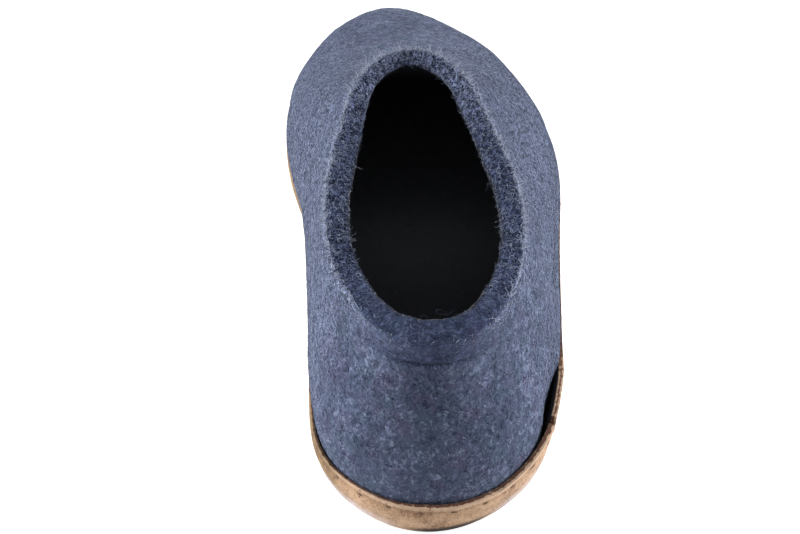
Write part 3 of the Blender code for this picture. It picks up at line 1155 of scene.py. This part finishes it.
@dataclass
class Wool:
    """Loose fibres of the felt: lying over it, standing on its cut edge and over the mouth."""

    upper: FeltUpper
    lying: int = 28000
    fringe: int = 1700
    curls: int = 6000
    curl_tries: int = 60000
    strays: int = 16
    seed: int = 7
    dark_tones: Span = (0.0, 0.40)
    pale_tones: Span = (0.5, 0.90)
    lying_half: Span = (0.0004, 0.0013)
    lying_width: Span = (0.00004, 0.00010)
    lying_bend: float = 0.22
    lying_tip: Span = (-0.00010, 0.00020)
    lying_tail: Span = (-0.00012, 0.00012)
    lying_height: float = 0.00010
    curl_ahead: Span = (-0.115, -0.070)
    curl_size: Span = (0.0004, 0.0009)
    curl_wind: Span = (2.0, 5.0)
    curl_height: Span = (0.00005, 0.0003)
    curl_radius: float = 0.00009
    fringe_ahead: Span = (-0.110, -0.060)
    fringe_out: Span = (0.1, 1.2)
    fringe_up: Span = (0.1, 1.0)
    fringe_scatter: float = 0.55
    fringe_root: Span = (0.0006, 0.0003)
    fringe_length: Triple = (3.0, 0.00032, 0.0004)
    fringe_longer: Span = (-0.030, 0.010)
    fringe_radius: float = 0.000065
    stray_size: Span = (0.002, 0.006)
    stray_wind: Span = (3.0, 6.5)
    stray_round: Span = (0.25, 0.60)
    stray_tones: Span = (0.28, 0.50)
    stray_radius: float = 0.000035
    chance: np.random.Generator = field(init=False)

    def build(self) -> None:
        """Makes all the fibre pieces and dresses them."""
        self.chance = np.random.default_rng(self.seed)
        wool = FibreFinish("wool_fibre").make()
        for name, tones in (("fibres_dark", self.dark_tones), ("fibres_pale", self.pale_tones)):
            finish_piece(self.lay(name, tones), [wool])
        finish_piece(self.curl("rim_curls"), [wool])
        fuzz = FibreFinish("wool_fuzz", pale=(0.56, 0.62, 0.76)).make()
        finish_piece(self.stand("collar_fuzz"), [fuzz])
        finish_piece(self.stray("stray_hairs"), [wool])

    def each(self, span: Span, count: int) -> np.ndarray:
        """A random value for each fibre, as a column."""
        return self.chance.uniform(*span, (count, 1))

    def spots(self, count: int) -> tuple[np.ndarray, np.ndarray, np.ndarray]:
        """Places spread over the visible felt.

        Args:
            count: How many.

        Returns:
            Places, normals and the zone at each.
        """
        mesh = self.upper.piece.data
        mesh.calc_loop_triangles()
        flat = np.empty(len(mesh.loop_triangles) * 3, np.int32)
        mesh.loop_triangles.foreach_get("vertices", flat)
        triangles = flat.reshape(-1, 3)
        places, normals = corners(self.upper.piece), directions(self.upper.piece)
        a, b, c = (places[triangles[:, side]] for side in range(3))
        area = np.linalg.norm(np.cross(b - a, c - a), axis=1)
        zone = self.upper.zone[triangles[:, 0]]
        clear = lifted(0.15, self.upper.crisp[triangles[:, 0]])
        share = (zone == Zone.OUTER.value) + 0.4 * (zone == Zone.CUT.value)
        weight = area * clear * share
        pick = self.chance.choice(len(triangles), count, p=weight / weight.sum())
        u, v = self.chance.random(count), self.chance.random(count)
        fold = u + v > 1
        u, v = np.where(fold, 1 - u, u)[:, None], np.where(fold, 1 - v, v)[:, None]
        a, b, c = (places[triangles[pick, side]] for side in range(3))
        where = a * (1 - u - v) + b * u + c * v
        return where, unit(normals[triangles[pick]].mean(axis=1)), zone[pick]

    def lie(self, facing: np.ndarray) -> tuple[np.ndarray, np.ndarray]:
        """Random directions along a surface, and those across them."""
        random = self.chance.normal(size=facing.shape)
        along = unit(random - facing * (random * facing).sum(axis=1, keepdims=True))
        return along, np.cross(facing, along)

    def lay(self, name: str, tones: Span) -> bpy.types.Object:
        """Short bent fibres felted onto the surface.

        Args:
            name: Name of the piece.
            tones: Darkest and palest tone.

        Returns:
            The piece.
        """
        where, facing, _ = self.spots(self.lying)
        count = len(where)
        along, across = self.lie(facing)
        half = self.each(self.lying_half, count)
        width = self.each(self.lying_width, count)
        bend = self.chance.normal(0, self.lying_bend, (count, 1)) * half
        tip = self.each(self.lying_tip, count)
        tail = self.each(self.lying_tail, count)
        middle = where + facing * self.lying_height + across * bend
        rows = (
            where - along * half + facing * tail,
            where + along * half + facing * tip,
            middle + across * width,
            middle - across * width,
            middle + facing * width,
        )
        places = np.stack(rows, axis=1).reshape(-1, 3)
        pattern = np.array([(0, 4, 2), (0, 3, 4), (0, 2, 3), (1, 2, 4), (1, 4, 3), (1, 3, 2)])
        faces = (np.arange(count)[:, None, None] * len(rows) + pattern).reshape(-1, 3)
        each = np.repeat(self.chance.uniform(*tones, count), len(rows))
        return mesh_piece(name, places, faces, each)

    def tubes(self, name: str, paths: np.ndarray, radius: float, tones: np.ndarray) -> bpy.types.Object:
        """Thin three-sided hairs along paths, closed to a point at both ends.

        Args:
            name: Name of the piece.
            paths: For each hair its points, as hairs by points by three.
            radius: Half the thickness at the middle.
            tones: Tone of each hair.

        Returns:
            The piece.
        """
        count, steps, _ = paths.shape
        run = unit(np.gradient(paths, axis=1), TINY)
        side = unit(np.cross(run, OBLIQUE), TINY)
        over = np.cross(side, run)
        inner = slice(1, steps - 1)
        rings = []
        for corner in range(3):
            angle = corner * math.tau / 3
            off = side[:, inner] * math.cos(angle) + over[:, inner] * math.sin(angle)
            rings.append(paths[:, inner] + off * radius)
        ring = np.stack(rings, axis=2).reshape(count, -1, 3)
        places = np.concatenate([paths[:, :1], ring, paths[:, -1:]], axis=1)
        each = places.shape[1]
        pattern = []
        for corner in range(3):
            after = (corner + 1) % 3
            pattern.append((0, 1 + after, 1 + corner))
            for step in range(steps - 3):
                low, high = 1 + 3 * step, 4 + 3 * step
                pattern.append((low + corner, low + after, high + corner))
                pattern.append((low + after, high + after, high + corner))
            last = 1 + 3 * (steps - 3)
            pattern.append((last + corner, last + after, each - 1))
        faces = (np.arange(count)[:, None, None] * each + np.array(pattern)).reshape(-1, 3)
        return mesh_piece(name, places.reshape(-1, 3), faces, np.repeat(tones, each))

    def curl(self, name: str) -> bpy.types.Object:
        """Curly fibre ends a little proud of the cut rim, on its sides and front above all."""
        where, facing, zone = self.spots(self.curl_tries)
        front = self.chance.random(len(where)) < 0.15 + rise(where[:, 1], *self.curl_ahead)
        chosen = np.flatnonzero((zone == Zone.CUT.value) & front)[: self.curls]
        where, facing, count = where[chosen], facing[chosen], len(chosen)
        along, across = self.lie(facing)
        size = self.each(self.curl_size, count)
        wind = self.each(self.curl_wind, count)
        root, rising = self.curl_height
        paths = []
        for share in np.linspace(0, 1, 6):
            angle = wind * (share - 0.5)
            path = where + along * np.sin(angle) * size + across * (np.cos(angle) - 0.5) * size
            paths.append(path + facing * (root + rising * math.sin(share * math.pi)))
        pale = self.chance.random(count) < 0.48
        tones = np.where(pale, self.chance.uniform(0.65, 1.0, count), 0.05)
        return self.tubes(name, np.stack(paths, axis=1), self.curl_radius, tones)

    def stand(self, name: str) -> bpy.types.Object:
        """Short hairs that stand off the collar's two corners."""
        outer, inner = self.upper.collar.points, self.upper.mouth.points
        starts, ways, sizes = [], [], []
        sink, scatter = self.fringe_root
        for count, loop, other, size in (
            (self.fringe, outer, inner, 1.0),
            (self.fringe // 2, inner, outer, 0.5),
        ):
            chances = 0.05 + rise(loop[:, 1], *self.fringe_ahead)
            start = loop[self.chance.choice(len(loop), count, p=chances / chances.sum())]
            away = unit(start - other[nearest_index(other, start)])
            way = away * self.each(self.fringe_out, count) + UP * self.each(self.fringe_up, count)
            way += self.chance.normal(0, self.fringe_scatter, (count, 3))
            starts.append(start - away * sink + self.chance.normal(0, scatter, (count, 3)))
            ways.append(unit(way))
            sizes.append(np.full((count, 1), size))
        start, way = np.concatenate(starts), np.concatenate(ways)
        total = len(start)
        form, spread, least = self.fringe_length
        length = (self.chance.gamma(form, spread, (total, 1)) + least) * np.concatenate(sizes)
        length *= 1 + 0.25 * rise(start[:, 1:2], *self.fringe_longer)
        curl = self.chance.normal(0, 0.50, (total, 3)) * length
        swing = self.chance.normal(0, 0.16, (total, 3)) * length
        paths = []
        for share in np.linspace(0, 1, 5):
            path = start + way * length * share + curl * share**2
            paths.append(path + swing * math.sin(math.tau * share))
        tones = self.chance.uniform(0.70, 1.0, total)
        tones *= np.where(np.arange(total) < self.fringe, 1.0, 0.85)
        return self.tubes(name, np.stack(paths, axis=1), self.fringe_radius, tones)

    def stray(self, name: str) -> bpy.types.Object:
        """Long curly hairs round the collar and over its mouth."""
        loop, mouth = self.upper.collar.points, self.upper.mouth.points
        count = self.strays
        pick = self.chance.integers(0, len(loop), count)
        over_mouth = self.chance.random(count)[:, None] < 0.55
        start = np.where(over_mouth, mouth[nearest_index(mouth, loop[pick])], loop[pick])
        inward = mouth.mean(axis=0) - start
        inward[:, 2] = 0
        sense = np.where(over_mouth, 1.0, -0.6)
        drop = np.where(over_mouth, -1.0, 0.35) * UP
        way = unit(inward) * sense * self.each((0.3, 1.0), count)
        way = way + drop * self.each((0.1, 0.9), count)
        way = unit(way + self.chance.normal(0, 0.4, (count, 3)))
        size = self.each(self.stray_size, count)
        turn_a = unit(np.cross(way, self.chance.normal(size=(count, 3))))
        turn_b = np.cross(way, turn_a)
        wind = self.each(self.stray_wind, count)
        round_size = size * self.each(self.stray_round, count)
        paths = []
        for share in np.linspace(0, 1, 18):
            swing = turn_a * (1 - np.cos(wind * share)) + turn_b * np.sin(wind * share)
            paths.append(start + way * size * share + swing * round_size)
        tones = self.chance.uniform(*self.stray_tones, count)
        return self.tubes(name, np.stack(paths, axis=1), self.stray_radius, tones)


def nearest_index(points: np.ndarray, places: np.ndarray) -> np.ndarray:
    """Index of the nearest point for each place."""
    return Loop(points).nearest(places)[0]


@dataclass
class FeltInsole:
    """The felt insole, pressed a little where the heel and ball of the foot stand.

    A pressed place has its middle along the foot, its half width and its half length.
    """

    voxel: float = 0.0022
    press: float = 0.0006
    heel: Triple = (-0.088, 0.022, 0.026)
    ball: Triple = (0.045, 0.032, 0.030)
    pill: Span = (0.005, 0.0001)
    facing_up: Span = (0.5, 0.9)
    # Where the insole's colour is darkened towards its back: painted shade.
    hole_shade: Span = (0.010, -0.045)
    color: Color = (0.200, 0.210, 0.240)
    fleck_color: Color = (0.265, 0.277, 0.310)
    piece: bpy.types.Object = field(init=False)

    def build(self, node: bpy.types.Object) -> None:
        """Makes the dense pad and its pressed places."""
        self.piece = copy_of_node(node, "insole_felt")
        apply_modifier(self.piece, "REMESH", mode="VOXEL", voxel_size=self.voxel)
        apply_modifier(self.piece, "SMOOTH", factor=0.5, iterations=2)
        places, normals = corners(self.piece), directions(self.piece)
        x, y, _ = places.T
        top = rise(normals[:, 2], *self.facing_up)
        heel, ball = (
            np.exp(-((x / width) ** 2 + ((y - middle) / length) ** 2))
            for middle, width, length in (self.heel, self.ball)
        )
        pill_width, pill_size = self.pill
        pills = pill_size * lumps(places, pill_width, 3.0)
        places[:, 2] -= self.press * (heel + ball) * top - pills * top
        move_to(self.piece, places)
        self.piece.data.shade_smooth()
        paint(self.piece, {"hole_shade": rise(y, *self.hole_shade)})

    def dress(self) -> None:
        """Gives the pad its dark felt."""
        felt = InnerFeltFinish("felt_charcoal", color=self.color, fleck_color=self.fleck_color)
        finish_piece(self.piece, [felt.make()], ("insole",))


@dataclass
class LipMap:
    """Where each vertex of the cup lies on its lip."""

    zone: np.ndarray
    index: np.ndarray
    below: np.ndarray
    outer: np.ndarray
    across: np.ndarray = field(init=False)

    @property
    def cut(self) -> np.ndarray:
        """Which vertices lie on the cut edge."""
        return self.zone == Zone.CUT.value

    @property
    def along(self) -> np.ndarray:
        """How far round the lip each vertex lies."""
        return self.index * LOOP_STEP

    def waves(self, width: float, seed: float) -> np.ndarray:
        """Noise that changes along the lip alone."""
        along = self.along
        return lumps(np.stack([along, 0 * along, 0 * along], 1), width, seed)


@dataclass
class LeatherSole:
    """The leather cup, with its cut lip, the notch and step of its outer side, and its sewing."""

    sharpness: float = math.radians(55)
    outer_seed: Vector = field(default_factory=lambda: Vector((0.0, -0.140, 0.006)))
    inner_seed: Vector = field(default_factory=lambda: Vector((0.0, -0.120, 0.002)))
    stitch_pitch: float = 0.0106
    stitch_shift: float = 0.0029
    stitch_below: float = 0.0022
    stitch_foot: float = 0.0022
    stitch_share: float = 0.42
    dent_length: float = 0.0011
    dent_height: float = 0.0006
    dent_depth: float = 0.0006
    groove_depth: float = 0.00010
    skive: float = 0.0011
    notch_turn: float = 138.0
    notch_half: float = 0.0016
    notch_depth: float = 0.0030
    lip_crease: float = 0.9
    near_lip: float = 0.017
    long_edge: float = 0.0013
    round_lip: float = 0.85
    shade_angle: float = math.radians(40)
    wall_above: float = 0.0015
    coarse_rag: Span = (0.0040, 0.00030)
    fine_rag: Span = (0.0012, 0.00012)
    rag_reach: Span = (0.007, 0.001)
    least_across: float = 1e-6
    skive_side: Span = (0.005, -0.025)
    skive_reach: float = 0.0055
    dent_heel: Span = (-0.085, -0.110)
    dent_strength: Span = (0.70, 0.30)
    dent_rhythm: float = 2.4
    groove_width: float = 0.0007
    swell_top: Span = (0.0, 0.0025)
    swell_foot: Span = (0.009, 0.004)
    swell_depth: float = 0.00025
    lump: Span = (0.006, 0.00012)
    core_wave: Span = (0.0017, 0.16)
    core_soft: float = 0.22
    hinge_reach: Span = (0.010, 0.005)
    pale_ahead: Span = (-0.076, -0.064)
    gape_middle: float = -0.088
    gape_length: float = 0.012
    gape_edge: Span = (0.42, 0.22)
    # Where the leather is darker: its inner side, and along the lip towards the front.
    deepened_side: Span = (-0.019, -0.034)
    deepened_start: Span = (-0.128, -0.118)
    deepened_foot: Span = (0.001, 0.003)
    deepened_wave: Span = (0.014, 0.012)
    deepened_ahead: Span = (-0.105, -0.045)
    lip_line: Span = (0.0050, 0.0020)
    # A darker brown line just under the lip's edge: painted shade of the groove beneath it.
    groove_shade_below: float = 0.0016
    groove_shade_width: float = 0.00045
    rim_reach: Span = (0.0013, 0.0003)
    # Where the painted contact shadow lies: low all round, higher at the back of the heel.
    contact_shade_height: Span = (0.0014, 0.0004)
    contact_shade_behind: float = -0.110
    contact_shade_middle: float = 0.006
    contact_shade_reach: float = 0.0125
    contact_shade_back: Span = (0.0048, 0.0034)
    # Where the pale painted reflection of the floor lies on the lower corner.
    reflection_foot: Span = (0.0014, 0.0026)
    reflection_top: Span = (0.0066, 0.0034)
    reflection_middle: float = 0.004
    reflection_side: Span = (0.010, 0.024)
    reflection_back: Span = (-0.080, -0.100)
    piece: bpy.types.Object = field(init=False)
    lip_outer: Loop = field(init=False)
    lip_inner: Loop = field(init=False)
    stitches: list[tuple[Vector, Vector]] = field(init=False, default_factory=list)

    def build(self, node: bpy.types.Object) -> None:
        """Makes the dense cup and works its lip.

        Args:
            node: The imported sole.
        """
        self.piece = copy_of_node(node, "sole_leather")
        skin = Skin(self.piece, self.sharpness, self.outer_seed, self.inner_seed, -1.0)
        self.lip_outer = Loop(skin.border(Zone.OUTER, Zone.CUT))
        self.lip_inner = Loop(skin.border(Zone.INNER, Zone.CUT))
        self.keep_sharp()
        apply_modifier(self.piece, "SUBSURF", levels=2, render_levels=2)
        self.split_along(-0.055, 3)
        self.split_along(1.0, 1)
        self.work(skin)

    def keep_sharp(self) -> None:
        """Creases the lip's two corners, so that subdivision keeps them."""
        edit(self.piece, "EDGE")
        bpy.ops.mesh.edges_select_sharp(sharpness=self.sharpness)
        bpy.ops.transform.edge_crease(value=self.lip_crease)
        leave_edit()

    def split_along(self, before: float, cuts: int) -> None:
        """Splits the long edges that run round the lip.

        Args:
            before: Only edges behind this y are split.
            cuts: How many cuts each gets.
        """
        places = corners(self.piece)
        index, distance = self.lip_outer.nearest(places)
        loop = self.lip_outer.points
        edit(self.piece, "EDGE")
        mesh = bmesh.from_edit_mesh(self.piece.data)
        mesh.edges.ensure_lookup_table()
        for edge in mesh.edges:
            first, second = (vertex.index for vertex in edge.verts)
            far = max(distance[first], distance[second]) > self.near_lip
            if far or places[first, 1] > before:
                continue
            place = index[first]
            tangent = Vector(loop[(place + 3) % len(loop)] - loop[place - 3]).normalized()
            way = edge.verts[1].co - edge.verts[0].co
            rounds = abs(way.normalized().dot(tangent)) > self.round_lip
            if way.length > self.long_edge and rounds:
                edge.select_set(True)
        bmesh.update_edit_mesh(self.piece.data)
        bpy.ops.mesh.subdivide(number_cuts=cuts, smoothness=0.0)
        leave_edit()

    def turn_index(self, degrees: float) -> int:
        """Index on the outer lip loop at a turn from the toe, seen from the outline's middle."""
        loop = self.lip_outer.points
        length = loop[:, 1].max() - loop[:, 1].min()
        wanted_y = math.cos(math.radians(degrees)) * length / 2
        side = loop[:, 0] > 0 if degrees < 180 else loop[:, 0] < 0
        return int(np.argmin(np.abs(loop[:, 1] - wanted_y) + np.where(side, 0, 1)))

    def stitch_line(self, top: np.ndarray | float) -> np.ndarray | float:
        """How far under the lip the stitches lie, less where the lip is low."""
        return np.minimum(self.stitch_below, (top - self.stitch_foot) * self.stitch_share)

    def work(self, skin: Skin) -> None:
        """Works the lip, presses the stitches in and marks the finish."""
        places, normals = corners(self.piece), directions(self.piece)
        zone = skin.zone_of(places)
        index, _ = self.lip_outer.nearest(places)
        below = self.lip_outer.points[index, 2] - places[:, 2]
        outer = (zone == Zone.OUTER.value) & (places[:, 2] > self.wall_above)
        lip = LipMap(zone, index, below, outer)
        self.cut_lip(places, lip)
        pitches, dent, inward = self.press(places, lip)
        lump_width, lump_size = self.lump
        out = lump_size * lumps(places, lump_width, 9.0) * outer
        places += normals * (out - inward)[:, None]
        move_to(self.piece, places)
        self.piece.data.shade_smooth()
        self.piece.data.set_sharp_from_angle(angle=self.shade_angle)
        self.mark(places, lip, dent)
        self.find_stitches(pitches)

    def cut_lip(self, places: np.ndarray, lip: LipMap) -> None:
        """Cuts the notch, roughens the lip and thins it on its inner side.

        Args:
            places: Vertex places, which it moves.
            lip: Where they lie, to which it adds how far across the cut edge.
        """
        loop = self.lip_outer.points
        total = len(loop) * LOOP_STEP
        rag = sum(
            size * lip.waves(width, seed)
            for seed, (width, size) in ((2.0, self.coarse_rag), (4.0, self.fine_rag))
        )
        notch_at = self.turn_index(self.notch_turn) * LOOP_STEP
        off = np.abs((lip.along - notch_at + total / 2) % total - total / 2)
        notch = np.clip(1 - off / self.notch_half, 0, 1) * self.notch_depth
        places[:, 2] += rise(lip.below, *self.rag_reach) * (rag - notch)
        _, to_outer = self.lip_outer.nearest(places)
        _, to_inner = self.lip_inner.nearest(places)
        lip.across = to_inner / np.maximum(to_inner + to_outer, self.least_across)
        run = np.roll(loop, -3, axis=0) - np.roll(loop, 3, axis=0)
        level = unit(np.stack([-run[:, 1], run[:, 0], 0 * run[:, 0]], axis=1))
        level *= np.sign((level * loop).sum(axis=1, keepdims=True))
        medial = rise(loop[lip.index, 0], *self.skive_side)
        wall = lip.outer * rise(lip.below, self.skive_reach, 0.0)
        thin = self.skive * medial * np.where(lip.cut, lip.across, wall)
        places -= level[lip.index] * thin[:, None]

    def press(self, places: np.ndarray, lip: LipMap) -> tuple[int, np.ndarray, np.ndarray]:
        """Works out how the sewing presses the wall in.

        Args:
            places: Vertex places.
            lip: Where they lie on the lip.

        Returns:
            How many stitches there are, how far each vertex lies in a dent and how far it
            is pressed in.
        """
        total = len(self.lip_outer.points) * LOOP_STEP
        pitches = max(1, round(total / self.stitch_pitch))
        pitch = total / pitches
        turns = (lip.along + self.stitch_shift) / pitch
        aside = ((turns + 0.5) % 1 - 0.5) * pitch / self.dent_length
        drop = lip.below - self.stitch_line(self.lip_outer.points[lip.index, 2])
        dent = np.exp(-(aside**2) - (drop / self.dent_height) ** 2) * lip.outer
        even, uneven = self.dent_strength
        heel = lifted(0.15, rise(places[:, 1], *self.dent_heel))
        dent *= heel * (even + uneven * np.sin(np.round(turns) * self.dent_rhythm))
        groove = bell(drop, self.groove_width) * lip.outer
        swell = rise(lip.below, *self.swell_top) * rise(lip.below, *self.swell_foot) * lip.outer
        inward = self.dent_depth * dent + self.groove_depth * groove - self.swell_depth * swell
        return pitches, dent, inward

    def mark(self, places: np.ndarray, lip: LipMap, dent: np.ndarray) -> None:
        """Marks where the leather is cut, darker and sewn, and where shade and a floor reflection are
        painted on it.

        Args:
            places: Vertex places.
            lip: Where they lie on the lip.
            dent: How far each vertex lies in a dent.
        """
        x, y, z = places.T
        below, outer, loop = lip.below, lip.outer, self.lip_outer.points
        lip_x, lip_y, _ = loop[lip.index].T
        notch = self.turn_index(self.notch_turn)
        off = np.abs(lip.along - notch * LOOP_STEP)
        hinge = rise(off, *self.hinge_reach) * (lip_y < loop[notch, 1])
        ahead = rise(lip_y, *self.pale_ahead)
        gape = bell(lip_y - self.gape_middle, self.gape_length, 4) * (lip_x > 0)
        # The brown band on the cut edge, widened behind the notch and towards the front: partly the
        # leather's own colour, partly painted shade of the gap under the felt.
        wave_width, wave_size = self.core_wave
        ragged = lip.across + wave_size * lip.waves(wave_width, 6.0)
        reach = 0.40 + 0.10 * hinge + 0.45 * ahead + 0.15 * gape
        core_and_gap_shade = lip.cut * rise(ragged, reach + self.core_soft, reach)
        # Darker on the inner side and along the lip towards the front.
        inner_side = rise(x, *self.deepened_side) * rise(y, *self.deepened_start)
        wave_width, wave_size = self.deepened_wave
        toward_front = 0.75 * rise(y + wave_size * lumps(places, wave_width, 12.0), *self.deepened_ahead)
        line = (0.25 * ahead + toward_front) * rise(below, *self.lip_line)
        line = line + toward_front * rise(below, *reversed(self.lip_line))
        edge = np.maximum(outer * rise(below, *self.rim_reach), lip.cut * 1.0)
        # Bottom edge darkened, higher at the back of the heel: painted contact shadow.
        back = bell(x - self.contact_shade_middle, self.contact_shade_reach, 4) * (y < self.contact_shade_behind)
        contact_shade = np.maximum(rise(z, *self.contact_shade_height), back * rise(z, *self.contact_shade_back))
        # Pale patch low on the heel's sides: painted reflection of the floor.
        corner = rise(z, *self.reflection_foot) * rise(z, *self.reflection_top)
        sides = rise(np.abs(x - self.reflection_middle), *self.reflection_side)
        flank = sides * rise(y, *self.reflection_back)
        patchy = 0.80 + 0.35 * lumps(places, 0.004, 15.0)
        marks = {
            "core_and_gap_shade": core_and_gap_shade * (1 - gape * rise(ragged, *self.gape_edge)),
            "deepened": np.clip(np.maximum(inner_side, line), 0, 1) * rise(z, *self.deepened_foot),
            "groove_shade": bell(below - self.groove_shade_below, self.groove_shade_width) * outer * 0.5,
            "rim": edge * (0.7 - 0.7 * ahead),
            "dent": np.clip(dent * 1.1, 0, 1) * 0.9,
            "contact_shade": contact_shade * (lip.zone == Zone.OUTER.value),
            "hollow_shade": (lip.zone == Zone.INNER.value) * 1.0,
            "floor_reflection": np.clip(corner * flank * outer * patchy, 0, 1),
        }
        paint(self.piece, marks)

    def find_stitches(self, pitches: int) -> None:
        """Notes where each stitch lies on the finished wall.

        Args:
            pitches: How many stitches there are.
        """
        tree = BVHTree.FromObject(self.piece, bpy.context.evaluated_depsgraph_get())
        loop = self.lip_outer.points
        shift = self.stitch_shift / LOOP_STEP
        for number in range(pitches):
            place = round(number * len(loop) / pitches - shift) % len(loop)
            point = Vector(loop[place])
            tangent = Vector(loop[(place + 5) % len(loop)] - loop[place - 5]).normalized()
            out = Vector((-tangent.y, tangent.x, 0)).normalized()
            if out.dot(Vector((point.x, point.y, 0))) < 0:
                out = -out
            start = point + out * 0.01 - Vector((0, 0, self.stitch_line(point.z)))
            hit = tree.ray_cast(start, -out)[0]
            if hit:
                self.stitches.append((hit, tangent))

    def dress(self) -> None:
        """Gives the cup its leather."""
        finish_piece(self.piece, [LeatherFinish("leather_tan").make()], ("sole",))


@dataclass
class Sewing:
    """The stitches that hold the lip to the felt, sunk in their dents."""

    radius: float = 0.00032
    length: float = 0.0026

    def build(self, stitches: list[tuple[Vector, Vector]]) -> None:
        """Models one stitch and copies it into every dent.

        Args:
            stitches: Middle and direction of each.
        """
        deselect_all()
        bpy.ops.mesh.primitive_uv_sphere_add(
            segments=8, ring_count=6, radius=self.radius, location=(0, 0, 0)
        )
        model = bpy.context.active_object
        bpy.ops.object.mode_set(mode="EDIT")
        bpy.ops.mesh.select_all(action="SELECT")
        bpy.ops.transform.resize(value=(self.length / self.radius / 2, 1, 1))
        leave_edit()
        copies = []
        for middle, tangent in stitches:
            copy = bpy.data.objects.new("stitch", model.data.copy())
            bpy.context.scene.collection.objects.link(copy)
            copy.data.transform(tangent.to_track_quat("X", "Z").to_matrix().to_4x4())
            copy.data.transform(Matrix.Translation(middle))
            copies.append(copy)
        bpy.data.objects.remove(model)
        deselect_all()
        for copy in copies:
            copy.select_set(True)
        bpy.context.view_layer.objects.active = copies[0]
        bpy.ops.object.join()
        piece = bpy.context.active_object
        piece.name = "sole_stitches"
        piece.data.shade_smooth()
        finish_piece(piece, [ThreadFinish("waxed_thread").make()])


@dataclass
class Studio:
    """The floor, the soft light and the camera."""

    azimuth: float = 0.87
    elevation: float = 42.43
    roll: float = -1.68
    distance: float = 0.43794
    target: Vector = field(default_factory=lambda: Vector((-0.00756, -0.05419, 0.040)))
    focal_pixels: float = 1304.57
    world: float = 0.18
    backdrop: float = 1.05
    floor_glow: Span = (0.45, 0.85)
    left_power: float = 11.0
    right_power: float = 10.5
    front_power: float = 0.5
    top_power: float = 0.6

    def build(self) -> None:
        """Builds the whole studio."""
        self.lay_floor()
        self.set_light()
        self.set_camera()
        scene = bpy.context.scene
        scene.view_settings.view_transform = "Standard"
        scene.view_settings.look = "None"

    def lay_floor(self) -> None:
        """A wide pale floor under the slipper."""
        deselect_all()
        bpy.ops.mesh.primitive_plane_add(size=8.0, location=(0, 0, 0))
        floor = bpy.context.active_object
        floor.name = "floor"
        made = bpy.data.materials.new("floor_white")
        made.use_nodes = True
        shader = made.node_tree.nodes["Principled BSDF"]
        shader.inputs["Base Color"].default_value = (0.80, 0.80, 0.80, 1)
        shader.inputs["Roughness"].default_value = 0.9
        shader.inputs["Emission Color"].default_value = (1, 1, 1, 1)
        sheet = Sheet(made.node_tree)
        seen = sheet.add("LightPath").outputs["Is Camera Ray"]
        sheet.feed(shader.inputs["Emission Strength"], sheet.span(seen, 0.0, 1.0, *self.floor_glow))
        floor.data.materials.append(made)

    def set_light(self) -> None:
        """A bright surround and soft boxes at the sides, in front and above."""
        world = bpy.data.worlds.new("studio_surround")
        world.use_nodes = True
        sheet = Sheet(world.node_tree)
        surround = world.node_tree.nodes["Background"]
        surround.inputs["Color"].default_value = (1, 1, 1, 1)
        seen = sheet.add("LightPath").outputs["Is Camera Ray"]
        strength = sheet.span(seen, 0.0, 1.0, self.world, self.backdrop)
        sheet.feed(surround.inputs["Strength"], strength)
        bpy.context.scene.world = world
        aim = Vector((0, -0.02, 0.04))
        boxes = (
            ("left_box", Vector((-0.75, 0.08, 0.31)), self.left_power, 0.7),
            ("right_box", Vector((0.75, 0.08, 0.21)), self.right_power, 0.7),
            ("front_box", Vector((0.0, 0.85, 0.75)), self.front_power, 0.9),
            ("top_box", Vector((0.0, 0.1, 1.1)), self.top_power, 0.8),
        )
        for name, place, power, size in boxes:
            light = bpy.data.lights.new(name, "AREA")
            light.energy = power
            light.size = size
            lamp = bpy.data.objects.new(name, light)
            lamp.location = place
            lamp.rotation_mode = "QUATERNION"
            lamp.rotation_quaternion = (aim - place).to_track_quat("-Z", "Y")
            bpy.context.scene.collection.objects.link(lamp)

    def set_camera(self) -> None:
        """The camera at the picture's angle."""
        angles = (self.azimuth, self.elevation, self.roll)
        turn, lift, roll = (math.radians(angle) for angle in angles)
        level = math.cos(lift)
        back = Vector((math.sin(turn) * level, -math.cos(turn) * level, math.sin(lift)))
        right = (-back).cross(Vector((0, 0, 1))).normalized()
        up = right.cross(-back)
        side = right * math.cos(roll) + up * math.sin(roll)
        top = up * math.cos(roll) - right * math.sin(roll)
        camera = bpy.data.objects.new("camera", bpy.data.cameras.new("camera"))
        camera.data.sensor_width = SENSOR
        camera.data.lens = self.focal_pixels * SENSOR / IMAGE_WIDTH
        camera.data.clip_start = 0.01
        turned = Matrix((side, top, back)).transposed().to_4x4()
        camera.matrix_world = Matrix.Translation(self.target + back * self.distance) @ turned
        bpy.context.scene.collection.objects.link(camera)
        bpy.context.scene.camera = camera


def main() -> None:
    """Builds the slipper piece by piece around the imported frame."""
    logging.basicConfig(level=logging.INFO, format="%(name)s: %(message)s")
    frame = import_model()
    nodes = frame["nodes"]
    WoolMelange().make()
    SuedeGrain().make()
    studio = Studio()
    studio.build()
    upper = FeltUpper()
    upper.build(nodes["upper"])
    upper.dress()
    Wool(upper).build()
    insole = FeltInsole()
    insole.build(nodes["insole"])
    insole.dress()
    sole = LeatherSole()
    sole.build(nodes["sole"])
    sole.dress()
    Sewing().build(sole.stitches)


if __name__ == "__main__":
    main()
